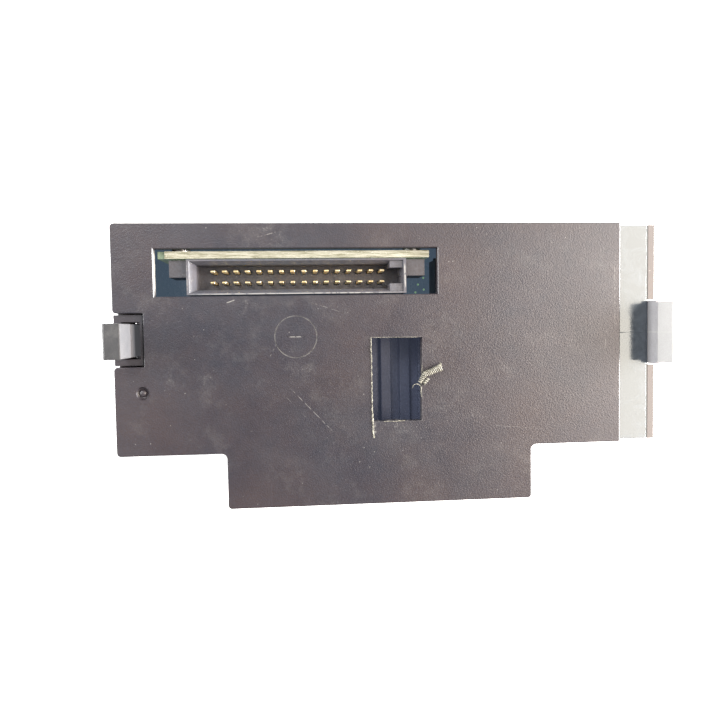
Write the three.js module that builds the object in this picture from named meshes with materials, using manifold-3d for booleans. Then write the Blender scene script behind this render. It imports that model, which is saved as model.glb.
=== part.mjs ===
// Clip-on controller module, lying on its front face with its rear side up.
// Millimetres. X runs along the body, Y across it, Z from the front face (0) to the rear.
// Plan positions are given as distances from the body's left end and from its top edge.

import * as THREE from 'three';
import { mergeVertices } from 'three/addons/utils/BufferGeometryUtils.js';
import Module from 'manifold-3d';

const wasm = await Module();
wasm.setup();

// ---------------------------------------------------------------- driving dimensions

const LENGTH = 125.1;
const WIDTH = 63.75;
const WING_WIDTH = 51.2;
const TAB_LEFT = 23.95;
const TAB_RIGHT = 93.8;
const WALL = 2.0;
const END_WALL = 1.6;
const FRONT_PLATE = 2.0;
const GAP = 0.3;

const REAR_FACE = 26.0;
const LEDGE = 23.0;
const COVER_RIGHT = 115.2;
const COVER_PLATE = 2.0;
const COVER_SKIRT_LOW = 21.5;
const LIP_LOW = 18.7;
const LIP_THICKNESS = 1.2;
const PANEL_THICKNESS = 1.5;

const NOTCH = { left: -1, right: 6.5, top: 19.6, bottom: 31.4 };
const OPENING = { left: 9.1, right: 72.1, top: 5.6, bottom: 16.05 };
const WINDOW = { left: 57.0, right: 68.0, top: 25.8, bottom: 44.7 };
const RING = { x: 39.8, y: 25.3, radius: 4.67, groove: 0.4, depth: 0.25 };
const DIMPLE = { x: 6.0, y: 37.2, radius: 1.5, depth: 0.9 };

const STUD = { radius: 0.95, low: 24.5, high: 25.85 };

const POCKET_FLOOR = 5.0;
const DECK = { low: 12.0, high: 25.0, slotLeft: 1.5, slotRight: 5.6 };
const LATCH_AXIS_HEIGHT = 5.5;
const LATCH_CENTRE = 25.6;
const LEFT_LATCH = { outer: 1.86, inner: 3.66, width: 7.6, heel: 1.3, top: 34.0, catchHeight: 31.0 };
const RIGHT_LATCH = { inner: 123.65, outer: 125.05, footWidth: 14.9, width: 14.0, shoulder: 26.3, top: 32.4 };
const RIGHT_BARB = { reach: 0.8, low: 28.0, high: 28.5, tipSetback: 0.55 };

const BOARD = { low: 4.0, high: 5.6 };
const PIN = { pitch: 2.54, columns: 16, width: 0.95, thickness: 0.55, tip: 24.0 };
const PIN_ROWS = [{ name: 'a', top: 10.45, bend: 14.0 }, { name: 'b', top: 12.95, bend: 11.5 }];
const HEADER_CENTRE = 40.6;
const LINK_BOARD = { left: 9.7, right: 70.4, front: 6.05, back: 7.65, low: 7.0, high: 24.6 };
const SHROUD = { left: 16.1, right: 64.9, top: 7.95, bottom: 15.75, low: 15.5, floor: 18.6, rim: 25.8 };
const SHROUD_WELL = { left: 17.9, right: 64.1, top: 9.05, bottom: 14.65 };
const SHROUD_MOUTH = { left: 16.6, right: 64.3, top: 8.3, bottom: 15.4, flare: 1.6 };
const SHROUD_KEYS = [
  { left: 61.2, right: 64.5, top: 8.2, bottom: 10.0 },
  { left: 61.2, right: 64.5, top: 13.6, bottom: 15.5 },
];
const EAR = { leftEnd: 12.0, rightEnd: 69.5, bottom: 11.7, high: 23.6, screwHeight: 19.5 };
const SLOT_CLEARANCE = 0.15;
const MASKED_CORNER = { right: 11.3, high: 24.0 };
const EDGE_SOCKET = { left: 13.0, right: 68.0, top: 4.6, bottom: 9.1, high: 10.2 };
const GUARD = { left: 44.8, right: 87.4, top: 20.0, bottom: 58.0, low: 14.0, high: 15.2 };
const GUARD_RIB = { first: 46.0, pitch: 4.6, width: 2.6, height: 1.2, count: 9 };
const PORT = { x: 104.0, y: 36.0, radius: 6.9 };
const LED_WINDOW = { left: 96.0, right: 112.0, top: 10.0, bottom: 15.0 };
const LABEL = { left: 14.0, right: 84.0, top: 10.0, bottom: 42.0 };

const POST = { radius: 2.6, hole: 1.3, holeLow: 0.8 };
const SCREW_POSTS = { left: { x: 18, y: 44 }, right: { x: 98, y: 22 } };
const PLAIN_POSTS = [{ x: 34, y: 56 }, { x: 84, y: 56 }];
const CHIPS = {
  processor_chip: { x: 66, y: 33, length: 20, width: 20, height: 2.4, legs: 8, fourSides: true },
  memory_chip: { x: 66, y: 52, length: 16, width: 8, height: 2.2, legs: 7 },
  bus_chip: { x: 30, y: 26, length: 14, width: 8, height: 2.2, legs: 7 },
  optocoupler: { x: 91.3, y: 24, length: 7, width: 5, height: 3.2, legs: 3 },
};
const LEG = { reach: 1.0, halfWidth: 0.35, high: 0.7 };
const CAPACITOR = { x: 106, y: 14, radius: 3.9, base: 4.2, height: 9.5 };
const CONVERTER = { left: 74, right: 94, top: 7, bottom: 16, height: 8 };
const CRYSTAL = { left: 28.0, right: 39.0, top: 35.0, bottom: 39.6, round: 2.0, height: 3.6 };
const FUSE = { left: 98.5, right: 108.5, top: 44.5, bottom: 47.5, cap: 2.0, height: 2.9 };

// The level at which parts stand on the main board.
const SEAT = BOARD.high + GAP;

// ---------------------------------------------------------------- placing and joining

const fromLeft = (distance) => distance - LENGTH / 2;
const fromTop = (distance) => WIDTH / 2 - distance;

function toSolid(geometry) {
  const bare = geometry.clone();
  bare.deleteAttribute('normal');
  bare.deleteAttribute('uv');
  const merged = mergeVertices(bare, 1e-5);
  const vertProperties = new Float32Array(merged.attributes.position.array);
  const triVerts = new Uint32Array(merged.index.array);
  return new wasm.Manifold(new wasm.Mesh({ numProp: 3, vertProperties, triVerts }));
}

function toGeometry(solid) {
  const mesh = solid.getMesh();
  const geometry = new THREE.BufferGeometry();
  geometry.setAttribute('position', new THREE.BufferAttribute(mesh.vertProperties, 3));
  geometry.setIndex(new THREE.BufferAttribute(mesh.triVerts, 1));
  return geometry;
}

function join(...geometries) {
  const solids = geometries.map(toSolid);
  return toGeometry(solids.reduce((whole, piece) => whole.add(piece)));
}

function cut(base, ...tools) {
  return toGeometry(tools.reduce((rest, tool) => rest.subtract(toSolid(tool)), toSolid(base)));
}

// A box given by its plan limits and its lowest and highest level.
function slab({ left, right, top, bottom }, low, high) {
  const geometry = new THREE.BoxGeometry(right - left, bottom - top, high - low);
  return geometry.translate(fromLeft((left + right) / 2), fromTop((top + bottom) / 2), (low + high) / 2);
}

function upright({ x, y }, radius, low, high, segments = 16) {
  const geometry = new THREE.CylinderGeometry(radius, radius, high - low, segments);
  return geometry.rotateX(Math.PI / 2).translate(fromLeft(x), fromTop(y), (low + high) / 2);
}

// A cylinder whose axis runs across the body, between two distances from the top edge.
function crosswise(x, z, radius, near, far, segments = 16) {
  const geometry = new THREE.CylinderGeometry(radius, radius, far - near, segments);
  return geometry.translate(fromLeft(x), fromTop((near + far) / 2), z);
}

// A closed outline whose corners, given as [from left, from top, radius], are rounded.
function outline(corners) {
  const points = corners.map(([x, y]) => new THREE.Vector2(fromLeft(x), fromTop(y)));
  const shape = new THREE.Shape();
  corners.forEach(([, , radius = 0], i) => {
    const here = points[i];
    const before = points[(i + points.length - 1) % points.length];
    const after = points[(i + 1) % points.length];
    const start = here.clone().add(before.clone().sub(here).setLength(radius));
    const end = here.clone().add(after.clone().sub(here).setLength(radius));
    if (i === 0) shape.moveTo(start.x, start.y);
    else shape.lineTo(start.x, start.y);
    if (radius > 0) shape.quadraticCurveTo(here.x, here.y, end.x, end.y);
  });
  shape.closePath();
  return shape;
}

function prism(shape, low, high, curveSegments = 3) {
  const settings = { depth: high - low, bevelEnabled: false, curveSegments };
  const geometry = new THREE.ExtrudeGeometry(shape, settings);
  return geometry.translate(0, 0, low);
}

const grown = (box, by) => ({
  left: box.left - by,
  right: box.right + by,
  top: box.top - by,
  bottom: box.bottom + by,
});

const aboutPoint = ({ x, y }, halfLength, halfWidth) => ({
  left: x - halfLength,
  right: x + halfLength,
  top: y - halfWidth,
  bottom: y + halfWidth,
});

// The body's plan, drawn in by an inset: a wide bar with a tab on its lower side.
function bodyOutline(inset, right, notched) {
  const notch = [
    [inset, NOTCH.bottom + inset, 0.7],
    [NOTCH.right + inset, NOTCH.bottom + inset, 0.3],
    [NOTCH.right + inset, NOTCH.top - inset, 0.3],
    [inset, NOTCH.top - inset, 0.7],
  ];
  return outline([
    [inset, inset, 1.0],
    [right - inset, inset, 1.0],
    [right - inset, WING_WIDTH - inset, 1.0],
    [TAB_RIGHT - inset, WING_WIDTH - inset, 1.2],
    [TAB_RIGHT - inset, WIDTH - inset, 0.8],
    [TAB_LEFT + inset, WIDTH - inset, 0.8],
    [TAB_LEFT + inset, WING_WIDTH - inset, 1.2],
    [inset, WING_WIDTH - inset, 1.0],
    ...(notched ? notch : []),
  ]);
}

// A profile of [from left, height] points, swept across the body about the latches' centre line.
function acrossBody(points, width) {
  const shape = new THREE.Shape(points.map(([x, z]) => new THREE.Vector2(fromLeft(x), z)));
  const geometry = new THREE.ExtrudeGeometry(shape, { depth: width, bevelEnabled: false });
  return geometry.rotateX(Math.PI / 2).translate(0, fromTop(LATCH_CENTRE) + width / 2, 0);
}

// The lower half circle of a latch's heel, from its outer side round to its inner side.
function heelArc(x, radius, steps = 6) {
  return Array.from({ length: steps + 1 }, (_, i) => {
    const angle = -Math.PI * (i / steps);
    return [x + radius * Math.cos(angle), LATCH_AXIS_HEIGHT + radius * Math.sin(angle)];
  });
}

// ---------------------------------------------------------------- finishes

const finish = (color, roughness, metalness = 0) =>
  new THREE.MeshStandardMaterial({ color, roughness, metalness, flatShading: true });

const casingPlastic = finish(0x2a2829, 0.5);
const panelPlastic = finish(0x1c1e20, 0.12);
const latchPlastic = finish(0x2c2c2e, 0.42);
const headerPlastic = finish(0x222327, 0.35);
const guardPlastic = finish(0x1d2230, 0.4);
const gold = finish(0xd8a94e, 0.25, 1);
const boardEdge = finish(0xcfc89a, 0.7);
const boardGreen = finish(0x1e4a48, 0.35);
const chipPlastic = finish(0x18181a, 0.6);
const steel = finish(0xa9abad, 0.35, 1);
const aluminium = finish(0xc4c6c8, 0.3, 1);
const converterPlastic = finish(0x22252b, 0.45);
const fuseCeramic = finish(0xd9d4c4, 0.5);
const ledBody = finish(0xe6e4da, 0.4);
const clearPlastic = finish(0xb9c4c0, 0.1);
const labelFilm = finish(0x8f9496, 0.45);

const assembly = new THREE.Group();

function place(name, geometry, material, position = [0, 0, 0]) {
  const mesh = new THREE.Mesh(geometry, material);
  mesh.name = name;
  mesh.position.set(...position);
  assembly.add(mesh);
}

// ---------------------------------------------------------------- casing

// A shallow lid with a locating lip inside its skirt. Its right end stands over the end panel.
function rearCover() {
  const inset = WALL + GAP;
  const shell = cut(
    prism(bodyOutline(0, COVER_RIGHT, true), COVER_SKIRT_LOW, REAR_FACE),
    prism(bodyOutline(WALL, COVER_RIGHT, true), COVER_SKIRT_LOW - 1, REAR_FACE - COVER_PLATE),
  );
  const lip = cut(
    prism(bodyOutline(inset, COVER_RIGHT, true), LIP_LOW, REAR_FACE - COVER_PLATE + 0.5),
    prism(bodyOutline(inset + LIP_THICKNESS, COVER_RIGHT, true), LIP_LOW - 1, REAR_FACE - COVER_PLATE),
  );
  const overPanel = { left: COVER_RIGHT - WALL - GAP, right: COVER_RIGHT + 1, top: -1, bottom: WIDTH };
  const ring = cut(
    upright(RING, RING.radius + RING.groove / 2, REAR_FACE - RING.depth, REAR_FACE + 1, 32),
    upright(RING, RING.radius - RING.groove / 2, REAR_FACE - 1, REAR_FACE + 2, 32),
  );
  const lid = cut(
    join(shell, lip),
    slab(overPanel, LIP_LOW - 1, LEDGE + GAP),
    slab(OPENING, LIP_LOW - 1, REAR_FACE + 1),
    slab(WINDOW, LIP_LOW - 1, REAR_FACE + 1),
    ring,
    upright(DIMPLE, DIMPLE.radius, REAR_FACE - DIMPLE.depth, REAR_FACE + 1),
  );
  return join(lid, upright(DIMPLE, STUD.radius, STUD.low, STUD.high));
}

// A tub open to the rear, with a latch pocket, a slotted deck that fills the lid's notch
// and a taller, slotted end wall.
function frontHousing() {
  const seam = COVER_SKIRT_LOW - GAP;
  const cavityRight = LENGTH - END_WALL + WALL; // the inset takes WALL off again
  const endWall = { left: LENGTH - END_WALL, right: LENGTH, top: 0.2, bottom: WING_WIDTH };
  const tub = cut(
    prism(bodyOutline(0, LENGTH, false), 0, seam),
    prism(bodyOutline(WALL, cavityRight, true), FRONT_PLATE, seam + 1),
  );
  const posts = [...Object.values(SCREW_POSTS), ...PLAIN_POSTS];
  const postSolids = posts.map((post) => upright(post, POST.radius, FRONT_PLATE - 0.5, BOARD.low - GAP, 12));
  const slot = (RIGHT_LATCH.footWidth + 2 * GAP) / 2;
  const latchSlot = {
    left: LENGTH - END_WALL - 0.1,
    right: LENGTH + 1,
    top: LATCH_CENTRE - slot,
    bottom: LATCH_CENTRE + slot,
  };
  const armSlot = {
    left: DECK.slotLeft,
    right: DECK.slotRight,
    top: LATCH_CENTRE - LEFT_LATCH.width / 2 - GAP,
    bottom: LATCH_CENTRE + LEFT_LATCH.width / 2 + GAP,
  };
  const deck = { left: 0, right: NOTCH.right - GAP, top: NOTCH.top + GAP, bottom: NOTCH.bottom - GAP };
  const heelGroove = { left: 1.1, right: 4.5, top: NOTCH.top, bottom: NOTCH.bottom };
  return cut(
    join(tub, slab(endWall, seam - 2, LEDGE), slab(deck, seam - 2, DECK.high), ...postSolids),
    slab(NOTCH, POCKET_FLOOR, DECK.low),
    slab(armSlot, POCKET_FLOOR, REAR_FACE),
    slab(heelGroove, LATCH_AXIS_HEIGHT - LEFT_LATCH.heel - 0.5, DECK.low),
    slab(latchSlot, LATCH_AXIS_HEIGHT - 1.0, REAR_FACE),
    ...Object.values(SCREW_POSTS).map((post) => upright(post, POST.hole, POST.holeLow, BOARD.high, 12)),
    upright(PORT, PORT.radius + GAP, -1, FRONT_PLATE + 1, 24),
    slab(grown(LED_WINDOW, GAP), -1, FRONT_PLATE + 1),
    slab(grown(LABEL, GAP), -1, 0.5),
  );
}

// A smooth plate one step below the rear face, with a lip that locates it inside the walls.
function endPanel() {
  const left = COVER_RIGHT - WALL;
  const right = LENGTH - END_WALL - GAP;
  const low = LEDGE - PANEL_THICKNESS;
  const plate = outline([
    [left, 0.2, 0],
    [right, 0.2, 0],
    [right, WING_WIDTH, 0],
    [left, WING_WIDTH, 0],
  ]);
  const lipTop = WALL + GAP;
  const lip = { left: left + 1, right, top: lipTop, bottom: WING_WIDTH - lipTop };
  const hollow = {
    left: lip.left + LIP_THICKNESS,
    right: lip.right - LIP_THICKNESS,
    top: lip.top + LIP_THICKNESS,
    bottom: lip.bottom - LIP_THICKNESS,
  };
  return cut(join(prism(plate, low, LEDGE), slab(lip, LIP_LOW, low + 0.5)), slab(hollow, LIP_LOW - 1, low));
}

// ---------------------------------------------------------------- latches

const leftHeel = (LEFT_LATCH.outer + LEFT_LATCH.inner) / 2;
const rightHeel = (RIGHT_LATCH.outer + RIGHT_LATCH.inner) / 2;

// A narrow arm whose nose points outwards, so it springs inwards to let go.
function leftLatch() {
  const { outer, inner, heel, top, width } = LEFT_LATCH;
  return acrossBody([
    [inner, top],
    [0.4, top],
    [0, top - 0.4],
    [0, LEFT_LATCH.catchHeight],
    [outer, LEFT_LATCH.catchHeight - 0.4],
    [outer, LATCH_AXIS_HEIGHT + heel],
    ...heelArc(leftHeel, heel).reverse(),
    [inner, LATCH_AXIS_HEIGHT + heel],
  ], width);
}

// A wide tongue of the end wall whose barb points inwards, so it springs outwards to let go.
function rightLatch() {
  const { inner, outer, footWidth, width, shoulder, top } = RIGHT_LATCH;
  const heel = (outer - inner) / 2;
  const blade = acrossBody([
    [outer, top],
    [inner + RIGHT_BARB.tipSetback, top],
    [inner - RIGHT_BARB.reach, RIGHT_BARB.high],
    [inner, RIGHT_BARB.low],
    ...heelArc(rightHeel, heel).reverse(),
  ], footWidth);
  const step = (footWidth - width) / 2;
  const side = { left: inner - 2, right: outer + 1 };
  const nearEdge = LATCH_CENTRE - footWidth / 2;
  const near = { ...side, top: nearEdge - 1, bottom: nearEdge + step };
  const far = { ...side, top: LATCH_CENTRE + footWidth / 2 - step, bottom: LATCH_CENTRE + footWidth / 2 + 1 };
  return cut(blade, slab(near, shoulder, REAR_FACE + 10), slab(far, shoulder, REAR_FACE + 10));
}

// ---------------------------------------------------------------- bus header

const pinCentres = Array.from(
  { length: PIN.columns },
  (_, i) => HEADER_CENTRE + (i - (PIN.columns - 1) / 2) * PIN.pitch,
);

// One cutting tool for every pin, made by cutOne(row, left, right, half the slot's other side).
function pinSlots(cutOne) {
  const half = PIN.width / 2 + SLOT_CLEARANCE;
  const reach = PIN.thickness / 2 + SLOT_CLEARANCE;
  return PIN_ROWS.flatMap((row) => pinCentres.map((x) => cutOne(row, x - half, x + half, reach)));
}

// The header's inner hollow: upright walls, then a flare that leads the plug in.
function shroudHollow() {
  const { flare } = SHROUD_MOUTH;
  const mouth = new THREE.BoxGeometry(1, 1, flare);
  const position = mouth.attributes.position;
  for (let i = 0; i < position.count; i += 1) {
    const limits = position.getZ(i) > 0 ? SHROUD_MOUTH : SHROUD_WELL;
    const x = position.getX(i) > 0 ? limits.right : limits.left;
    const y = position.getY(i) > 0 ? limits.top : limits.bottom;
    position.setXY(i, fromLeft(x), fromTop(y));
  }
  mouth.translate(0, 0, SHROUD.rim + 0.01 - flare / 2);
  return join(slab(SHROUD_WELL, SHROUD.floor, SHROUD.rim - flare + 0.1), mouth);
}

function busShroud() {
  const body = slab(SHROUD, SHROUD.low, SHROUD.rim);
  const earTop = SHROUD.top;
  const leftEar = { left: EAR.leftEnd, right: SHROUD.left + 1, top: earTop, bottom: EAR.bottom };
  const rightEar = { left: SHROUD.right - 1, right: EAR.rightEnd, top: earTop, bottom: EAR.bottom };
  const keySolids = SHROUD_KEYS.map((key) => slab(key, SHROUD.floor - 0.5, SHROUD.rim - 0.4));
  const ears = [leftEar, rightEar].map((ear) => slab(ear, SHROUD.low, EAR.high));
  const holes = earScrewCentres().map((x) => crosswise(x, EAR.screwHeight, 1.3, earTop - 1, 11.0, 12));
  const slots = pinSlots((row, left, right, reach) =>
    slab({ left, right, top: row.top - reach, bottom: row.top + reach }, SHROUD.low - 1, SHROUD.floor + 1));
  return cut(join(cut(body, shroudHollow()), ...keySolids, ...ears), ...holes, ...slots);
}

const earScrewCentres = () => [(EAR.leftEnd + SHROUD.left) / 2, (SHROUD.right + EAR.rightEnd) / 2];

// One contact: straight up through the header, bent at the foot towards the upright board.
function busPin(row) {
  const half = PIN.thickness / 2;
  const tail = LINK_BOARD.front - 0.9;
  const up = fromTop(row.top);
  const bendOut = 0.35;
  const points = [
    [up - half, PIN.tip - 0.5],
    [up - half, row.bend - half + bendOut],
    [up - half + bendOut, row.bend - half],
    [fromTop(tail), row.bend - half],
    [fromTop(tail), row.bend + half],
    [up + half, row.bend + half],
    [up + half, PIN.tip - 0.5],
    [up + half - 0.15, PIN.tip],
    [up - half + 0.15, PIN.tip],
  ];
  const shape = new THREE.Shape(points.map(([y, z]) => new THREE.Vector2(y, z)));
  const strip = new THREE.ExtrudeGeometry(shape, { depth: PIN.width, bevelEnabled: false });
  const toSideways = new THREE.Matrix4().makeBasis(
    new THREE.Vector3(0, 1, 0),
    new THREE.Vector3(0, 0, 1),
    new THREE.Vector3(1, 0, 0),
  );
  return strip.applyMatrix4(toSideways).translate(-PIN.width / 2, 0, 0);
}

function headerScrew() {
  const seat = LINK_BOARD.front - GAP;
  return join(crosswise(0, 0, 2.1, seat - 1.2, seat, 12), crosswise(0, 0, 1.0, seat - 0.5, 10.7, 10));
}

// ---------------------------------------------------------------- boards

function connectorBoard() {
  const { left, right, front, back } = LINK_BOARD;
  const plan = { left, right, top: front, bottom: back };
  const maskedCorner = { ...grown(plan, 1), right: MASKED_CORNER.right };
  const slots = pinSlots((row, left, right, reach) =>
    slab({ left, right, top: plan.top - 1, bottom: plan.bottom + 1 }, row.bend - reach, row.bend + reach));
  const holes = earScrewCentres().map((x) => crosswise(x, EAR.screwHeight, 1.3, front - 1, back + 1, 12));
  return cut(
    slab(plan, LINK_BOARD.low, LINK_BOARD.high),
    slab(maskedCorner, MASKED_CORNER.high, REAR_FACE),
    ...slots,
    ...holes,
  );
}

function mainBoard() {
  const board = prism(bodyOutline(WALL + 0.5, 124.0, true), BOARD.low, BOARD.high);
  const screws = Object.values(SCREW_POSTS).map((post) => upright(post, 1.4, 0, 10, 12));
  return cut(board, ...screws, upright(PORT, PORT.radius + GAP, 0, 10, 24));
}

function cardEdgeSocket() {
  const slot = {
    left: LINK_BOARD.left - 1,
    right: LINK_BOARD.right + 1,
    top: LINK_BOARD.front - GAP,
    bottom: LINK_BOARD.back + GAP,
  };
  return cut(
    slab(EDGE_SOCKET, SEAT, EDGE_SOCKET.high),
    slab(slot, LINK_BOARD.low - GAP, EDGE_SOCKET.high + 1),
  );
}

function boardGuard() {
  const legs = BOARD.high + GAP;
  const underside = { left: GUARD.left + 1.2, right: GUARD.right - 1.2, top: GUARD.top - 1, bottom: 70 };
  const ribs = Array.from({ length: GUARD_RIB.count }, (_, i) => {
    const left = GUARD_RIB.first + i * GUARD_RIB.pitch;
    const plan = { left, right: left + GUARD_RIB.width, top: GUARD.top + 1, bottom: GUARD.bottom - 1 };
    return slab(plan, GUARD.high - 0.5, GUARD.high + GUARD_RIB.height);
  });
  return join(cut(slab(GUARD, legs, GUARD.high), slab(underside, legs - 1, GUARD.low)), ...ribs);
}

function boardScrew() {
  const corner = { x: 0, y: 0 };
  return join(
    upright(corner, 2.3, SEAT, SEAT + 1.4, 12),
    upright(corner, 1.0, POST.holeLow + 0.4, SEAT + 0.5, 10),
  );
}

// ---------------------------------------------------------------- parts on the main board

// A moulded package with a row of legs along two or four of its sides.
function chip({ x, y, length, width, height, legs, fourSides }) {
  const centres = (middle, span) =>
    Array.from({ length: legs }, (_, i) => middle - span / 2 + (span * (i + 0.5)) / legs);
  const lengthways = centres(x, length).map((at) =>
    aboutPoint({ x: at, y }, LEG.halfWidth, width / 2 + LEG.reach));
  const crossways = centres(y, width).map((at) =>
    aboutPoint({ x, y: at }, length / 2 + LEG.reach, LEG.halfWidth));
  const plans = fourSides ? [...lengthways, ...crossways] : lengthways;
  const body = slab(aboutPoint({ x, y }, length / 2, width / 2), SEAT + 0.3, SEAT + height);
  return join(body, ...plans.map((plan) => slab(plan, SEAT, SEAT + LEG.high)));
}

function storageCapacitor() {
  const { base, radius, height } = CAPACITOR;
  return join(
    slab(aboutPoint(CAPACITOR, base, base), SEAT, SEAT + 1.2),
    upright(CAPACITOR, radius, SEAT + 1.0, SEAT + height, 20),
  );
}

function isolatingConverter() {
  const feet = [1.5, 4, 16, 18.5].map((along) => {
    const x = CONVERTER.left + along;
    return { left: x - 0.4, right: x + 0.4, top: CONVERTER.top - 1, bottom: CONVERTER.bottom + 1 };
  });
  return join(
    slab(CONVERTER, SEAT + 0.3, SEAT + CONVERTER.height),
    ...feet.map((foot) => slab(foot, SEAT, SEAT + 0.8)),
  );
}

function clockCrystal() {
  const { left, right, top, bottom, round, height } = CRYSTAL;
  const can = outline([
    [left, top, round],
    [right, top, round],
    [right, bottom, round],
    [left, bottom, round],
  ]);
  return prism(can, SEAT, SEAT + height, 4);
}

function fuse() {
  const caps = [FUSE.left, FUSE.right - FUSE.cap].map((left) => ({ ...FUSE, left, right: left + FUSE.cap }));
  return join(
    slab(grown(FUSE, -0.3), SEAT + 0.2, SEAT + FUSE.height - 0.3),
    ...caps.map((cap) => slab(cap, SEAT, SEAT + FUSE.height)),
  );
}

function ledBlock() {
  const plan = grown(LED_WINDOW, -1);
  const lamps = Array.from({ length: 4 }, (_, i) => {
    const left = plan.left + 1.2 + i * 3.2;
    return { left, right: left + 2, top: plan.top + 0.4, bottom: plan.bottom - 0.4 };
  });
  return join(slab(plan, 2.9, BOARD.low - GAP), ...lamps.map((lamp) => slab(lamp, 2.3, 3.2)));
}

function portShell() {
  const flange = aboutPoint(PORT, 8.5, 7.8);
  const outer = join(upright(PORT, PORT.radius, 0.4, 13.0, 24), slab(flange, SEAT, SEAT + 1.0));
  return cut(outer, upright(PORT, PORT.radius - 0.7, -1, 14, 24));
}

function portInsert() {
  const contacts = Array.from({ length: 8 }, (_, i) => {
    const angle = Math.PI * (0.1 + (i * 1.8) / 7) + Math.PI / 2;
    return { x: PORT.x + 3.6 * Math.cos(angle), y: PORT.y + 3.6 * Math.sin(angle) };
  });
  return cut(
    upright(PORT, PORT.radius - 1.0, 1.4, 12.6, 24),
    slab(aboutPoint(PORT, 1.1, 1.0), 0, 6),
    ...contacts.map((contact) => upright(contact, 0.55, 0, 14, 6)),
  );
}

// ---------------------------------------------------------------- assembly

place('rear_cover', rearCover(), casingPlastic);
place('front_housing', frontHousing(), casingPlastic);
place('end_panel', endPanel(), panelPlastic);
place('left_latch', leftLatch(), latchPlastic);
place('right_latch', rightLatch(), latchPlastic);

place('bus_shroud', busShroud(), headerPlastic);
for (const row of PIN_ROWS) {
  const pin = busPin(row);
  pinCentres.forEach((x, i) => {
    place(`bus_pin_${row.name}${String(i + 1).padStart(2, '0')}`, pin, gold, [fromLeft(x), 0, 0]);
  });
}
earScrewCentres().forEach((x, i) => {
  place(`header_screw_${i === 0 ? 'left' : 'right'}`, headerScrew(), steel, [x, 0, EAR.screwHeight]);
});

place('connector_board', connectorBoard(), boardEdge);
place('main_board', mainBoard(), boardGreen);
place('card_edge_socket', cardEdgeSocket(), headerPlastic);
place('board_guard', boardGuard(), guardPlastic);
for (const [side, post] of Object.entries(SCREW_POSTS)) {
  place(`board_screw_${side}`, boardScrew(), steel, [post.x, -post.y, 0]);
}

for (const [name, size] of Object.entries(CHIPS)) place(name, chip(size), chipPlastic);
place('clock_crystal', clockCrystal(), steel);
place('storage_capacitor', storageCapacitor(), aluminium);
place('isolating_converter', isolatingConverter(), converterPlastic);
place('fuse', fuse(), fuseCeramic);

place('led_block', ledBlock(), ledBody);
place('led_window', slab(LED_WINDOW, 0.2, 1.9), clearPlastic);
place('port_shell', portShell(), steel);
place('port_insert', portInsert(), chipPlastic);
place('front_label', slab(LABEL, 0.1, 0.35), labelFilm);

export default assembly;
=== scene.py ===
"""Clip-on controller module, rear side up: its looks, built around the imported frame."""

import logging
import math
from dataclasses import dataclass
from enum import Enum
from typing import Callable, Iterable, Optional, Sequence

import bmesh
import bpy
from mathutils import Matrix, Vector, noise


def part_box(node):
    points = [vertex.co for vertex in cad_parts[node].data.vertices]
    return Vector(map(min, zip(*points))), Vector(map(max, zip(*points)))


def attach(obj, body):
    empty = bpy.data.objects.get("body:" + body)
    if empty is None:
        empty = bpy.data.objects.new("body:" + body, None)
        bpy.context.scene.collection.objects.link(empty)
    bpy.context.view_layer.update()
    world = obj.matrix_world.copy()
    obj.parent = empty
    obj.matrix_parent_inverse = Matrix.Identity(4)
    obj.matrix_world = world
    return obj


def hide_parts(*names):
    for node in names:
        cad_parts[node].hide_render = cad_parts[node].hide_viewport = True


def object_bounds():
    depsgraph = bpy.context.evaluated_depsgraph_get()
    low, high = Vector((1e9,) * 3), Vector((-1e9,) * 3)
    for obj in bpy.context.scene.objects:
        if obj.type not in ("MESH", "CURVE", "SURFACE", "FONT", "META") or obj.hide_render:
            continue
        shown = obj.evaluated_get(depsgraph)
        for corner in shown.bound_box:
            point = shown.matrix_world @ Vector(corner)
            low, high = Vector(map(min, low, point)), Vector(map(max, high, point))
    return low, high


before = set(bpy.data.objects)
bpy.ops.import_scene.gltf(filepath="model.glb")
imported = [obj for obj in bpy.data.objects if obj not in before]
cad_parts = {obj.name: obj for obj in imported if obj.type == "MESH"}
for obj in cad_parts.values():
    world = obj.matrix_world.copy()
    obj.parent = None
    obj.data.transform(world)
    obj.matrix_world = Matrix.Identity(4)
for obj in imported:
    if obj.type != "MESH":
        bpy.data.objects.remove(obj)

LOG = logging.getLogger("controller_module")
MM = 0.001
CAD_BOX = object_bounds()

Colour = tuple[float, float, float]
Socket = bpy.types.NodeSocket
Shape = bmesh.types.BMesh
Corner = tuple[float, float, float]


class Body(Enum):
    """The bodies of the frame that pieces ride on."""

    CASE = "case"
    LEFT_LATCH = "left_latch"
    RIGHT_LATCH = "right_latch"


class Layer(Enum):
    """Which way a streaked finish runs."""

    ALONG = (1.0, 14.0, 14.0)
    ACROSS = (14.0, 1.0, 14.0)
    UPRIGHT = (14.0, 14.0, 1.0)


@dataclass(frozen=True)
class Plan:
    """Turns distances from the body's left end and top edge, in millimetres, into the frame.

    Attributes:
        left: X of the body's left end, in metres.
        top: Y of the body's top edge, in metres.
    """

    left: float
    top: float

    def at(self, across: float, down: float, height: float = 0.0) -> Vector:
        """Gives the frame position, in metres, of a point stated in millimetres."""
        return Vector((self.left + across * MM, self.top - down * MM, height * MM))


PLAN = Plan(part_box("front_housing")[0].x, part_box("front_housing")[1].y)
REAR_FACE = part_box("rear_cover")[1].z / MM
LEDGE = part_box("end_panel")[1].z / MM


# ---------------------------------------------------------------- shaping


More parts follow.
